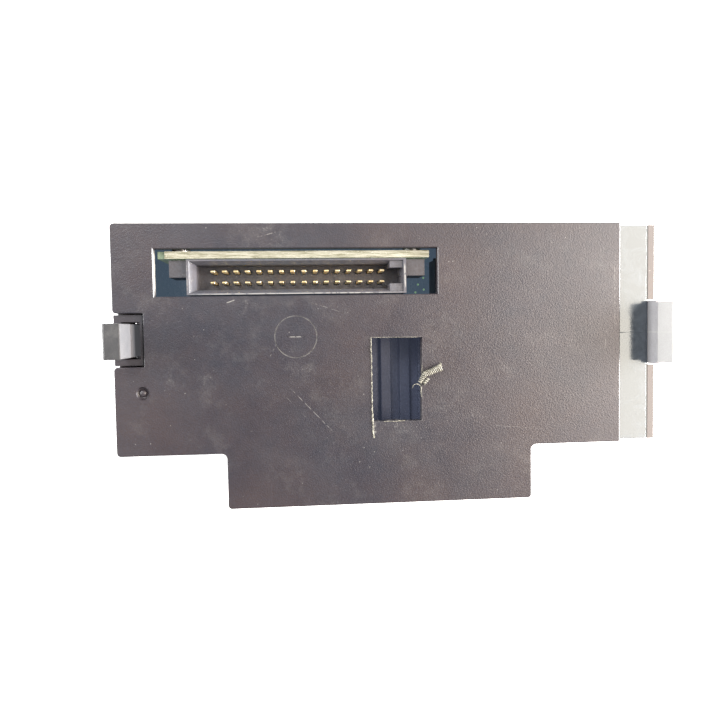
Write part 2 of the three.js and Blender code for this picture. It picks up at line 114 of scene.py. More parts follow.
def rise(shape: Shape, faces: Sequence[bmesh.types.BMFace], by: Vector) -> list[bmesh.types.BMVert]:
    """Extrudes faces and moves the new end.

    Args:
        shape: The mesh being shaped.
        faces: The faces to extrude.
        by: How far the new end moves, in metres.

    Returns:
        The vertices of the new end.
    """
    made = bmesh.ops.extrude_face_region(shape, geom=list(faces))["geom"]
    inner = [face for face in faces if any(len(edge.link_faces) > 2 for edge in face.edges)]
    bmesh.ops.delete(shape, geom=inner, context="FACES_ONLY")
    end = [item for item in made if isinstance(item, bmesh.types.BMVert)]
    bmesh.ops.translate(shape, verts=end, vec=by)
    return end


def close(shape: Shape) -> Shape:
    """Fills any open border of a shape and turns its faces outwards."""
    border = [edge for edge in shape.edges if edge.is_boundary]
    if border:
        bmesh.ops.holes_fill(shape, edges=border, sides=0)
    bmesh.ops.recalc_face_normals(shape, faces=shape.faces)
    return shape


def block(low: Vector, high: Vector) -> Shape:
    """Makes a box between two opposite corners, in metres."""
    shape = bmesh.new()
    bmesh.ops.create_cube(shape, size=1.0)
    bmesh.ops.scale(shape, vec=high - low, verts=shape.verts)
    bmesh.ops.translate(shape, vec=(low + high) / 2, verts=shape.verts)
    return shape


def slab(left: float, right: float, top: float, bottom: float, low: float, high: float) -> Shape:
    """Makes a box from plan limits and two levels, in millimetres."""
    return block(PLAN.at(left, bottom, low), PLAN.at(right, top, high))


def plate(corners: Sequence[Corner], low: float, high: float, segments: int = 5) -> Shape:
    """Makes a flat plate whose corners are rounded in plan.

    Args:
        corners: Each corner's place from the left end and the top edge, and its radius.
        low: Level of the underside, in millimetres.
        high: Level of the upper side, in millimetres.
        segments: How many steps a rounded corner has.

    Returns:
        The closed plate.
    """
    shape = bmesh.new()
    ring = [shape.verts.new(PLAN.at(across, down, low)) for across, down, _ in corners]
    shape.faces.new(ring)
    for radius in sorted({corner[2] for corner in corners if corner[2] > 0}):
        chosen = [vert for vert, corner in zip(ring, corners) if corner[2] == radius]
        bmesh.ops.bevel(
            shape,
            geom=chosen,
            offset=radius * MM,
            offset_type="OFFSET",
            segments=segments,
            profile=0.5,
            affect="VERTICES",
            material=-1,
        )
    rise(shape, shape.faces[:], Vector((0, 0, (high - low) * MM)))
    return close(shape)


def across_body(profile: Sequence[tuple[float, float]], middle: float, width: float) -> Shape:
    """Makes a strip of constant profile that runs across the body.

    Args:
        profile: Points as distance from the left end and height, in millimetres.
        middle: The strip's centre, from the top edge.
        width: Its width across the body.

    Returns:
        The closed strip.
    """
    shape = bmesh.new()
    face = shape.faces.new(
        [shape.verts.new(PLAN.at(x, middle + width / 2, z)) for x, z in profile]
    )
    rise(shape, [face], Vector((0, width * MM, 0)))
    return close(shape)


def soften(
    shape: Shape,
    width: float,
    chosen: Callable[[bmesh.types.BMEdge], bool],
    segments: int = 2,
) -> Shape:
    """Rounds the chosen edges.

    Args:
        shape: The mesh being shaped.
        width: Width of the rounding, in millimetres.
        chosen: Says whether an edge is rounded.
        segments: How many steps the rounding has.

    Returns:
        The same shape.
    """
    edges = [edge for edge in shape.edges if chosen(edge)]
    if edges:
        bmesh.ops.bevel(
            shape,
            geom=edges,
            offset=width * MM,
            offset_type="OFFSET",
            segments=segments,
            profile=0.5,
            affect="EDGES",
            clamp_overlap=True,
            material=-1,
        )
    return shape


def sharp(edge: bmesh.types.BMEdge) -> bool:
    """Says whether an edge is an outside corner of more than 40 degrees."""
    return edge.is_manifold and edge.is_convex and edge.calc_face_angle() > math.radians(40)


def at_level(level: float) -> Callable[[bmesh.types.BMEdge], bool]:
    """Makes a test for sharp edges that lie at one level, in millimetres."""
    return lambda edge: sharp(edge) and all(
        abs(vert.co.z - level * MM) < 1e-6 for vert in edge.verts
    )


def refined_copy(node: str, width: float, segments: int = 2) -> Shape:
    """Copies a frame node as one clean mesh and rounds its outside corners.

    Args:
        node: The node's name.
        width: Width of the rounding, in millimetres.
        segments: How many steps the rounding has.

    Returns:
        The refined shape.
    """
    shape = bmesh.new()
    shape.from_mesh(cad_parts[node].data)
    bmesh.ops.remove_doubles(shape, verts=shape.verts, dist=2e-6)
    bmesh.ops.dissolve_limit(
        shape, angle_limit=math.radians(1), verts=shape.verts, edges=shape.edges
    )
    return soften(shape, width, sharp, segments)


def bare_object(name: str, shape: Shape) -> bpy.types.Object:
    """Puts a shape into a new object at the origin."""
    mesh = bpy.data.meshes.new(name)
    shape.to_mesh(mesh)
    shape.free()
    piece = bpy.data.objects.new(name, mesh)
    bpy.context.scene.collection.objects.link(piece)
    return piece


def combined(base: Shape, tools: Iterable[Shape], operation: str = "DIFFERENCE") -> Shape:
    """Cuts tools out of a solid, or joins them to it.

    Args:
        base: The solid.
        tools: The solids that cut it or are joined to it.
        operation: DIFFERENCE or UNION.

    Returns:
        The resulting solid.
    """
    body = bare_object("work_body", base)
    helpers = [bare_object("work_tool", tool) for tool in tools]
    for helper in helpers:
        step = body.modifiers.new("step", "BOOLEAN")
        step.operation = operation
        step.solver = "EXACT"
        step.object = helper
    depsgraph = bpy.context.evaluated_depsgraph_get()
    mesh = bpy.data.meshes.new_from_object(body.evaluated_get(depsgraph))
    shape = bmesh.new()
    shape.from_mesh(mesh)
    for item in [body, *helpers]:
        bpy.data.objects.remove(item)
    bmesh.ops.remove_doubles(shape, verts=shape.verts, dist=1e-7)
    return shape


def merged(*shapes: Shape) -> Shape:
    """Puts several closed shapes into one mesh, side by side."""
    whole = bmesh.new()
    for shape in shapes:
        mesh = bpy.data.meshes.new("part")
        shape.to_mesh(mesh)
        shape.free()
        whole.from_mesh(mesh)
        bpy.data.meshes.remove(mesh)
    return whole


def publish(
    name: str,
    shape: Shape,
    materials: Sequence[bpy.types.Material],
    body: Body,
    stands_for: Sequence[str] = (),
    crease: float = 32.0,
) -> bpy.types.Object:
    """Turns a finished shape into a dressed piece that rides on its body.

    Args:
        name: The piece's name.
        shape: The finished mesh.
        materials: Its finishes, in the order of the faces' material numbers.
        body: The body that it rides on.
        stands_for: The frame nodes that it replaces.
        crease: Edges sharper than this many degrees stay sharp.

    Returns:
        The new object.
    """
    piece = bare_object(name, shape)
    for material in materials:
        piece.data.materials.append(material)
    piece.data.shade_smooth()
    piece.data.set_sharp_from_angle(angle=math.radians(crease))
    weigh = piece.modifiers.new("even_shading", "WEIGHTED_NORMAL")
    weigh.keep_sharp = True
    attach(piece, body.value)
    if stands_for:
        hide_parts(*stands_for)
    LOG.info("%s: %d faces, rides on %s", name, len(piece.data.polygons), body.value)
    return piece


# ---------------------------------------------------------------- finishes


class Graph:
    """A shader node tree, built step by step around one principled shader."""

    def __init__(self, name: str) -> None:
        """Starts a material.

        Args:
            name: The material's name.
        """
        self.material = bpy.data.materials.new(name)
        self.material.use_nodes = True
        self.tree = self.material.node_tree
        self.shader = self.tree.nodes["Principled BSDF"]
        self.place = self.tree.nodes.new("ShaderNodeTexCoord").outputs["Object"]

    def fix(self, **values: object) -> None:
        """Sets constants on the shader's own sockets, named with underscores for spaces."""
        for name, value in values.items():
            self.shader.inputs[name.replace("_", " ")].default_value = value

    def drive(self, name: str, source: Socket) -> None:
        """Links a socket to one of the shader's inputs."""
        self.tree.links.new(source, self.shader.inputs[name])

    def _feed(self, socket: Socket, value: object) -> None:
        """Links a socket to an input, or sets a constant on it."""
        if isinstance(value, bpy.types.NodeSocket):
            self.tree.links.new(value, socket)
        elif isinstance(value, tuple) and len(value) == 3 and len(socket.default_value) == 4:
            socket.default_value = (*value, 1.0)
        else:
            socket.default_value = value

    def stretched(self, factors: tuple[float, float, float]) -> Socket:
        """Gives object coordinates multiplied along each axis."""
        node = self.tree.nodes.new("ShaderNodeMapping")
        self._feed(node.inputs["Vector"], self.place)
        node.inputs["Scale"].default_value = factors
        return node.outputs["Vector"]

    def turned(self, origin: Vector, angle: float) -> Socket:
        """Gives object coordinates measured from an origin, along a turned X axis."""
        node = self.tree.nodes.new("ShaderNodeMapping")
        node.vector_type = "TEXTURE"
        self._feed(node.inputs["Vector"], self.place)
        node.inputs["Location"].default_value = (origin.x, origin.y, 0.0)
        node.inputs["Rotation"].default_value = (0.0, 0.0, angle)
        return node.outputs["Vector"]

    def parts(self, vector: Socket) -> tuple[Socket, Socket, Socket]:
        """Splits a vector into its three numbers."""
        node = self.tree.nodes.new("ShaderNodeSeparateXYZ")
        self._feed(node.inputs[0], vector)
        return node.outputs[0], node.outputs[1], node.outputs[2]

    def noise(
        self,
        size: float,
        detail: float = 2.0,
        rough: float = 0.5,
        vector: Optional[Socket] = None,
        distortion: float = 0.0,
    ) -> Socket:
        """Makes noise whose features are about size millimetres across.

        Args:
            size: Feature size, in millimetres.
            detail: How many finer octaves it has.
            rough: How strong they are.
            vector: The coordinates it reads.
            distortion: How much it is swirled.

        Returns:
            The noise value.
        """
        node = self.tree.nodes.new("ShaderNodeTexNoise")
        self._feed(node.inputs["Vector"], vector or self.place)
        node.inputs["Scale"].default_value = 1000.0 / size
        node.inputs["Detail"].default_value = detail
        node.inputs["Roughness"].default_value = rough
        node.inputs["Distortion"].default_value = distortion
        return node.outputs["Fac"]

    def cells(self, size: float) -> tuple[Socket, Socket]:
        """Gives the distance to the nearest scattered point, and that point's own random colour."""
        node = self.tree.nodes.new("ShaderNodeTexVoronoi")
        self._feed(node.inputs["Vector"], self.place)
        node.inputs["Scale"].default_value = 1000.0 / size
        return node.outputs["Distance"], node.outputs["Color"]

    def remap(
        self, value: Socket, low: float, high: float, to_low: float = 0.0, to_high: float = 1.0
    ) -> Socket:
        """Stretches a value between two limits onto another range, and holds it there."""
        node = self.tree.nodes.new("ShaderNodeMapRange")
        self._feed(node.inputs["Value"], value)
        node.inputs["From Min"].default_value = low
        node.inputs["From Max"].default_value = high
        node.inputs["To Min"].default_value = to_low
        node.inputs["To Max"].default_value = to_high
        return node.outputs["Result"]

    def sum(self, operation: str, first: object, second: object = 0.0) -> Socket:
        """Does one step of arithmetic on two values."""
        node = self.tree.nodes.new("ShaderNodeMath")
        node.operation = operation
        self._feed(node.inputs[0], first)
        self._feed(node.inputs[1], second)
        return node.outputs[0]

    def mix(self, share: object, first: object, second: object) -> Socket:
        """Mixes two colours."""
        node = self.tree.nodes.new("ShaderNodeMix")
        node.data_type = "RGBA"
        self._feed(node.inputs[0], share)
        self._feed(node.inputs[6], first)
        self._feed(node.inputs[7], second)
        return node.outputs[2]

    def bump(self, height: Socket, depth: float, under: Optional[Socket] = None) -> Socket:
        """Makes relief whose full height is depth millimetres."""
        node = self.tree.nodes.new("ShaderNodeBump")
        self._feed(node.inputs["Height"], height)
        node.inputs["Distance"].default_value = depth * MM
        if under is not None:
            self._feed(node.inputs["Normal"], under)
        return node.outputs["Normal"]

    def line(self, start: Vector, end: Vector, width: float, broken: float = 0.5) -> Socket:
        """Masks a thin broken line between two points in plan.

        Args:
            start: One end.
            end: The other end.
            width: The line's width, in millimetres.
            broken: From 0, unbroken, to 1, mostly gaps.

        Returns:
            The mask, 1 on the line.
        """
        run = end - start
        along, across, _ = self.parts(self.turned(start, math.atan2(run.y, run.x)))
        near = self.remap(self.sum("ABSOLUTE", across), 0.0, width * MM / 2, 1.0, 0.0)
        entry = self.remap(along, 0.0, run.length * 0.15, 0.0, 1.0)
        leave = self.remap(along, run.length * 0.8, run.length, 1.0, 0.0)
        gaps = self.remap(self.noise(0.9, 3.0), 0.3 + 0.3 * broken, 0.4 + 0.3 * broken)
        return self.sum("MULTIPLY", self.sum("MULTIPLY", near, gaps), self.sum("MULTIPLY", entry, leave))

    def patch(self, centre: Vector, radius: float, size: float) -> Socket:
        """Masks a soft round patch broken up by noise, radius and size in millimetres."""
        node = self.tree.nodes.new("ShaderNodeVectorMath")
        node.operation = "DISTANCE"
        self._feed(node.inputs[0], self.place)
        node.inputs[1].default_value = centre
        near = self.remap(node.outputs["Value"], 0.1 * radius * MM, radius * MM, 1.0, 0.0)
        pepper = self.remap(self.noise(size, 3.0, 0.7), 0.54, 0.7)
        cloud = self.remap(self.noise(size * 6.0, 5.0, 0.7, distortion=0.7), 0.46, 0.66)
        dusty = self.sum("ADD", self.sum("MULTIPLY", pepper, cloud), self.sum("MULTIPLY", cloud, 0.25))
        return self.sum("MULTIPLY", near, dusty)

    def circle(self, across: float, down: float, radius: float, width: float) -> Socket:
        """Masks a thin uneven circle in plan, its sizes in millimetres."""
        flat = self.tree.nodes.new("ShaderNodeVectorMath")
        flat.operation = "MULTIPLY"
        self._feed(flat.inputs[0], self.turned(PLAN.at(across, down), 0.0))
        flat.inputs[1].default_value = (1.0, 1.0, 0.0)
        length = self.tree.nodes.new("ShaderNodeVectorMath")
        length.operation = "LENGTH"
        self._feed(length.inputs[0], flat.outputs[0])
        off = self.sum("ABSOLUTE", self.sum("SUBTRACT", length.outputs["Value"], radius * MM))
        near = self.remap(off, 0.0, width * MM / 2, 1.0, 0.0)
        return self.sum("MULTIPLY", near, self.remap(self.noise(2.2, 3.0), 0.4, 0.6, 0.25, 1.0))

    def glow(self, colour: Colour, strength: float) -> None:
        """Adds a painted glow: emission that stands in for the faint light that the walls of a deep recess pass on to
        what lies in it.
        """
        self.shader.inputs["Emission Color"].default_value = (*colour, 1.0)
        self.fix(Emission_Strength=strength)

    def around(self, left: float, right: float, top: float, bottom: float, reach: float) -> Socket:
        """Masks a band of reach millimetres outside a rectangle in plan."""
        middle = PLAN.at((left + right) / 2, (top + bottom) / 2)
        x, y, _ = self.parts(self.turned(middle, 0.0))
        outside_x = self.sum("SUBTRACT", self.sum("ABSOLUTE", x), (right - left) / 2 * MM)
        outside_y = self.sum("SUBTRACT", self.sum("ABSOLUTE", y), (bottom - top) / 2 * MM)
        outside = self.sum("MAXIMUM", outside_x, outside_y)
        return self.remap(outside, 0.0, reach * MM, 1.0, 0.0)


@dataclass(frozen=True)
class Mark:
    """A pale line on the plastic: most are scratches or rubs, and some are painted highlights.

    Attributes:
        start: One end, from the left end and the top edge, in millimetres.
        end: The other end.
        width: Its width, in millimetres.
        broken: How interrupted it is.
        strength: How pale it is, up to 1.
    """

    start: tuple[float, float]
    end: tuple[float, float]
    width: float
    broken: float = 0.5
    strength: float = 0.8


@dataclass(frozen=True)
class Rub:
    """A dusty, rubbed patch.

    Attributes:
        centre: Its middle, from the left end and the top edge, in millimetres.
        radius: Its radius, in millimetres.
        strength: How pale it is, up to 1.
    """

    centre: tuple[float, float]
    radius: float
    strength: float = 0.5


@dataclass(frozen=True)
class MouldedPlastic:
    """Moulded plastic with a spark-eroded grain, tone drift, dust, scratches and rubs, and where set, painted
    highlights and a painted glow.

    Attributes:
        name: The material's name.
        cool: Its base colour where it is cool.
        warm: Its base colour where it is warm.
        gloss: Lowest and highest roughness.
        grain: Size of the grain, in millimetres.
        relief: Height of the grain, in millimetres.
        dust: Share of dusty specks, up to 1.
        level: Height at which marks and rubs lie, in millimetres.
        marks: Its pale lines: scratches, rubs and painted highlight lines.
        rubs: Its dusty patches.
        whitened: Plan limits of a cut whose rim has turned pale.
        polished_from: Distance from the left end past which the mould was polished.
        ring: A dusty circle as distance from the left end, from the top edge, and radius.
        painted_light_above: Height above which the plastic is painted paler, a painted highlight, in millimetres.
        painted_glow: Strength of a painted glow in its cool colour, which stands in for the light that the walls around
            it pass on, up to 1.
    """

    name: str
    cool: Colour
    warm: Colour
    gloss: tuple[float, float] = (0.4, 0.55)
    grain: float = 0.3
    relief: float = 0.02
    dust: float = 0.5
    level: float = REAR_FACE
    marks: tuple[Mark, ...] = ()
    rubs: tuple[Rub, ...] = ()
    whitened: Optional[tuple[float, float, float, float]] = None
    polished_from: Optional[float] = None
    ring: Optional[Corner] = None
    painted_light_above: Optional[float] = None
    painted_glow: float = 0.0

    # Pale colour shared by dust, scratches, rubs and painted highlights.
    DUST_AND_HIGHLIGHT_COLOUR = (0.4, 0.39, 0.36)

    def make(self) -> bpy.types.Material:
        """Builds the material."""
        graph = Graph(self.name)
        drift = graph.remap(graph.noise(34.0, 3.0, 0.55), 0.38, 0.62)
        colour = graph.mix(drift, self.cool, self.warm)
        mottle = graph.remap(graph.noise(2.6, 4.0, 0.65), 0.35, 0.7, 0.0, 0.3)
        colour = graph.mix(mottle, colour, tuple(value * 1.5 for value in self.warm))
        fine = graph.remap(graph.noise(self.grain, 3.0, 0.7), 0.35, 0.7, 0.0, 0.5)
        colour = graph.mix(fine, colour, tuple(value * 2.2 for value in self.cool))
        # Mixes in dust, scratches and rubs together with painted highlights.
        colour = graph.mix(self._wear_and_painted_highlight(graph), colour, self.DUST_AND_HIGHLIGHT_COLOUR)
        graph.drive("Base Color", colour)
        # Painted glow: emission in the cool colour, standing in for light passed on by the walls around.
        graph.glow(self.cool, self.painted_glow)
        self._surface(graph)
        return graph.material

    def _wear_and_painted_highlight(self, graph: Graph) -> Socket:
        """Adds up specks, scratches, rubs, the pale rim, painted highlight lines and the painted paler top."""
        distance, tint = graph.cells(1.1)
        kept, large, pale = graph.parts(tint)
        kept = graph.remap(kept, 1.0 - self.dust * 0.5, 1.0 - self.dust * 0.5 + 0.02, 0.0, 0.4)
        ragged = graph.sum("ADD", distance, graph.sum("MULTIPLY", graph.noise(0.2), 0.12))
        speck = graph.remap(graph.sum("SUBTRACT", ragged, graph.sum("MULTIPLY", large, 0.09)), 0.05, 0.11, 1.0, 0.0)
        wear_and_highlight = graph.sum("MULTIPLY", graph.sum("MULTIPLY", speck, kept), pale)
        haze = graph.remap(graph.noise(9.0, 6.0, 0.75), 0.54, 0.76, 0.0, 0.12 * self.dust)
        wear_and_highlight = graph.sum("MAXIMUM", wear_and_highlight, haze)
        for mark in self.marks:
            line = graph.line(PLAN.at(*mark.start), PLAN.at(*mark.end), mark.width, mark.broken)
            wear_and_highlight = graph.sum("MAXIMUM", wear_and_highlight, graph.sum("MULTIPLY", line, mark.strength))
        for rub in self.rubs:
            patch = graph.patch(PLAN.at(*rub.centre, self.level), rub.radius, 0.5)
            wear_and_highlight = graph.sum("MAXIMUM", wear_and_highlight, graph.sum("MULTIPLY", patch, rub.strength))
        if self.whitened:
            torn = graph.remap(graph.noise(0.6, 3.0), 0.4, 0.7)
            rim = graph.sum("MULTIPLY", graph.around(*self.whitened, 0.4), torn)
            wear_and_highlight = graph.sum("MAXIMUM", wear_and_highlight, graph.sum("MULTIPLY", rim, 0.14))
        if self.ring:
            wear_and_highlight = graph.sum("MAXIMUM", wear_and_highlight, graph.sum("MULTIPLY", graph.circle(*self.ring, 0.34), 0.3))
        # Painted highlight: above this height the plastic is painted paler, with a ragged edge, to stand in for light
        # falling on that part.
        if self.painted_light_above is not None:
            edge = self.painted_light_above * MM
            ragged = graph.sum("ADD", graph.parts(graph.place)[2], graph.sum("MULTIPLY", graph.noise(0.8, 3.0), 0.0006))
            wear_and_highlight = graph.sum("MAXIMUM", wear_and_highlight, graph.remap(ragged, edge, edge + 0.0006, 0.0, 0.4))
        return wear_and_highlight

    def _surface(self, graph: Graph) -> None:
        """Sets roughness and relief."""
        smear = graph.noise(14.0, 4.0, 0.6, distortion=0.6)
        rough = graph.remap(smear, 0.35, 0.65, *self.gloss)
        texture = graph.noise(self.grain, 2.0, 0.6)
        if self.polished_from is not None:
            edge = PLAN.at(self.polished_from, 0).x
            polish = graph.remap(graph.parts(graph.place)[0], edge, edge + 1e-5)
            rough = graph.mix(polish, rough, (0.12, 0.12, 0.12))
            texture = graph.sum("MULTIPLY", texture, graph.sum("SUBTRACT", 1.0, polish))
        graph.drive("Roughness", rough)
        graph.drive("Normal", graph.bump(texture, self.relief))


@dataclass(frozen=True)
class PolishedPanel:
    """Plastic from a polished mould, with faint smears and fine hairlines."""

    name: str
    colour: Colour = (0.045, 0.052, 0.062)

    def make(self) -> bpy.types.Material:
        """Builds the material."""
        graph = Graph(self.name)
        smear = graph.remap(graph.noise(5.0, 5.0, 0.65, distortion=0.8), 0.45, 0.7)
        graph.drive("Base Color", graph.mix(smear, self.colour, tuple(v * 1.5 for v in self.colour)))
        graph.drive("Roughness", graph.remap(smear, 0.0, 1.0, 0.09, 0.2))
        wave = graph.noise(7.0, 1.0)
        hair = graph.noise(0.12, 2.0, 0.5, graph.stretched(Layer.ACROSS.value))
        graph.drive("Normal", graph.bump(hair, 0.0012, graph.bump(wave, 0.02)))
        graph.fix(IOR=1.55, Specular_Tint=(0.92, 1.0, 1.0, 1.0))
        return graph.material


@dataclass(frozen=True)
class GoldPlate:
    """Thin gold over nickel, with wipe streaks where a plug has rubbed."""

    name: str
    colour: Colour = (1.0, 0.76, 0.36)

    def make(self) -> bpy.types.Material:
        """Builds the material."""
        graph = Graph(self.name)
        tone = graph.remap(graph.noise(1.1, 3.0), 0.35, 0.65)
        graph.drive("Base Color", graph.mix(tone, self.colour, (1.0, 0.87, 0.58)))
        streak = graph.noise(0.12, 2.0, 0.5, graph.stretched(Layer.UPRIGHT.value))
        graph.drive("Roughness", graph.remap(streak, 0.3, 0.7, 0.22, 0.42))
        graph.drive("Normal", graph.bump(streak, 0.004))
        graph.fix(Metallic=0.85)
        return graph.material


@dataclass(frozen=True)
class LaminateEdge:
    """The sawn edge of a glass laminate board: cream, with layers that run along it."""

    name: str

    def make(self) -> bpy.types.Material:
        """Builds the material."""
        graph = Graph(self.name)
        layers = graph.noise(5.0, 4.0, 0.75, graph.stretched(Layer.ALONG.value))
        chips = graph.remap(graph.noise(0.5, 4.0, 0.7), 0.58, 0.76)
        colour = graph.mix(graph.remap(layers, 0.4, 0.56), (0.12, 0.115, 0.07), (0.27, 0.265, 0.21))
        graph.drive("Base Color", graph.mix(chips, colour, (0.33, 0.33, 0.28)))
        graph.drive("Roughness", graph.remap(layers, 0.3, 0.7, 0.55, 0.85))
        graph.drive("Normal", graph.bump(chips, 0.05, graph.bump(layers, 0.06)))
        return graph.material


@dataclass(frozen=True)
class SolderMask:
    """Glossy coating over copper: raised tracks show through as paler lines; a painted glow can stand in for the light
    in a deep recess.
    """

    name: str
    deep: Colour
    pale: Colour
    painted_glow: float = 0.0

    def make(self) -> bpy.types.Material:
        """Builds the material."""
        graph = Graph(self.name)
        cloud = graph.remap(graph.noise(6.0, 3.0), 0.4, 0.6)
        x, y, _ = graph.parts(graph.place)
        wave = graph.sum("ADD", x, graph.sum("MULTIPLY", graph.noise(8.0, 0.0), 0.004))
        track = graph.sum("ABSOLUTE", graph.sum("SINE", graph.sum("MULTIPLY", wave, 2474.0)))
        ridge = graph.sum("MULTIPLY", graph.remap(track, 0.8, 0.9), cloud)
        graph.drive("Base Color", graph.mix(ridge, self.deep, self.pale))
        # Painted glow in the pale colour, standing in for the light that reaches the board in its deep recess.
        graph.glow(self.pale, self.painted_glow)
        graph.drive("Roughness", graph.remap(graph.noise(1.5, 3.0), 0.3, 0.7, 0.2, 0.38))
        graph.drive("Normal", graph.bump(ridge, 0.04))
        return graph.material


@dataclass(frozen=True)
class BareMetal:
    """Drawn or plated metal with fine lines along one way."""

    name: str
    colour: Colour
    way: Layer = Layer.ALONG
    roughness: tuple[float, float] = (0.25, 0.45)

    def make(self) -> bpy.types.Material:
        """Builds the material."""
        graph = Graph(self.name)
        lines = graph.noise(0.3, 3.0, 0.6, graph.stretched(self.way.value))
        stain = graph.remap(graph.noise(3.0, 4.0), 0.45, 0.75)
        dull = tuple(value * 0.7 for value in self.colour)
        graph.drive("Base Color", graph.mix(stain, self.colour, dull))
        graph.drive("Roughness", graph.remap(lines, 0.3, 0.7, *self.roughness))
        graph.drive("Normal", graph.bump(lines, 0.004))
        graph.fix(Metallic=1.0)
        return graph.material


@dataclass(frozen=True)
class TornPlastic:
    """Stretched, whitened plastic of burrs and turned chips."""

    name: str
    pale: Colour = (0.25, 0.24, 0.19)
    dark: Colour = (0.07, 0.066, 0.055)

    def make(self) -> bpy.types.Material:
        """Builds the material."""
        graph = Graph(self.name)
        torn = graph.remap(graph.noise(0.35, 4.0, 0.7), 0.4, 0.6)
        graph.drive("Base Color", graph.mix(torn, self.dark, self.pale))
        graph.drive("Roughness", graph.remap(torn, 0.0, 1.0, 0.35, 0.6))
        graph.drive("Normal", graph.bump(torn, 0.02))
        return graph.material


@dataclass(frozen=True)
class ClearLens:
    """Clear moulded plastic with a light haze."""

    name: str

    def make(self) -> bpy.types.Material:
        """Builds the material."""
        graph = Graph(self.name)
        haze = graph.remap(graph.noise(2.0, 3.0), 0.4, 0.7)
        graph.drive("Base Color", graph.mix(haze, (0.72, 0.78, 0.76), (0.8, 0.84, 0.82)))
        graph.drive("Roughness", graph.remap(haze, 0.0, 1.0, 0.05, 0.16))
        graph.drive("Normal", graph.bump(graph.noise(0.8, 2.0), 0.006))
        graph.fix(Transmission_Weight=0.75, IOR=1.49)
        return graph.material


@dataclass(frozen=True)
class PrintedFilm:
    """A blank printed plate: matt film with a fine pebble and light scuffs."""

    name: str

    def make(self) -> bpy.types.Material:
        """Builds the material."""
        graph = Graph(self.name)
        tone = graph.remap(graph.noise(18.0, 3.0), 0.4, 0.6)
        scuff = graph.remap(graph.noise(1.2, 5.0, 0.7), 0.56, 0.7, 0.0, 0.4)
        colour = graph.mix(tone, (0.27, 0.29, 0.3), (0.31, 0.32, 0.33))
        graph.drive("Base Color", graph.mix(scuff, colour, (0.5, 0.5, 0.5)))
        graph.drive("Roughness", graph.remap(scuff, 0.0, 0.4, 0.38, 0.55))
        graph.drive("Normal", graph.bump(graph.noise(0.15, 1.0), 0.004))
        return graph.material


# ---------------------------------------------------------------- rear cover


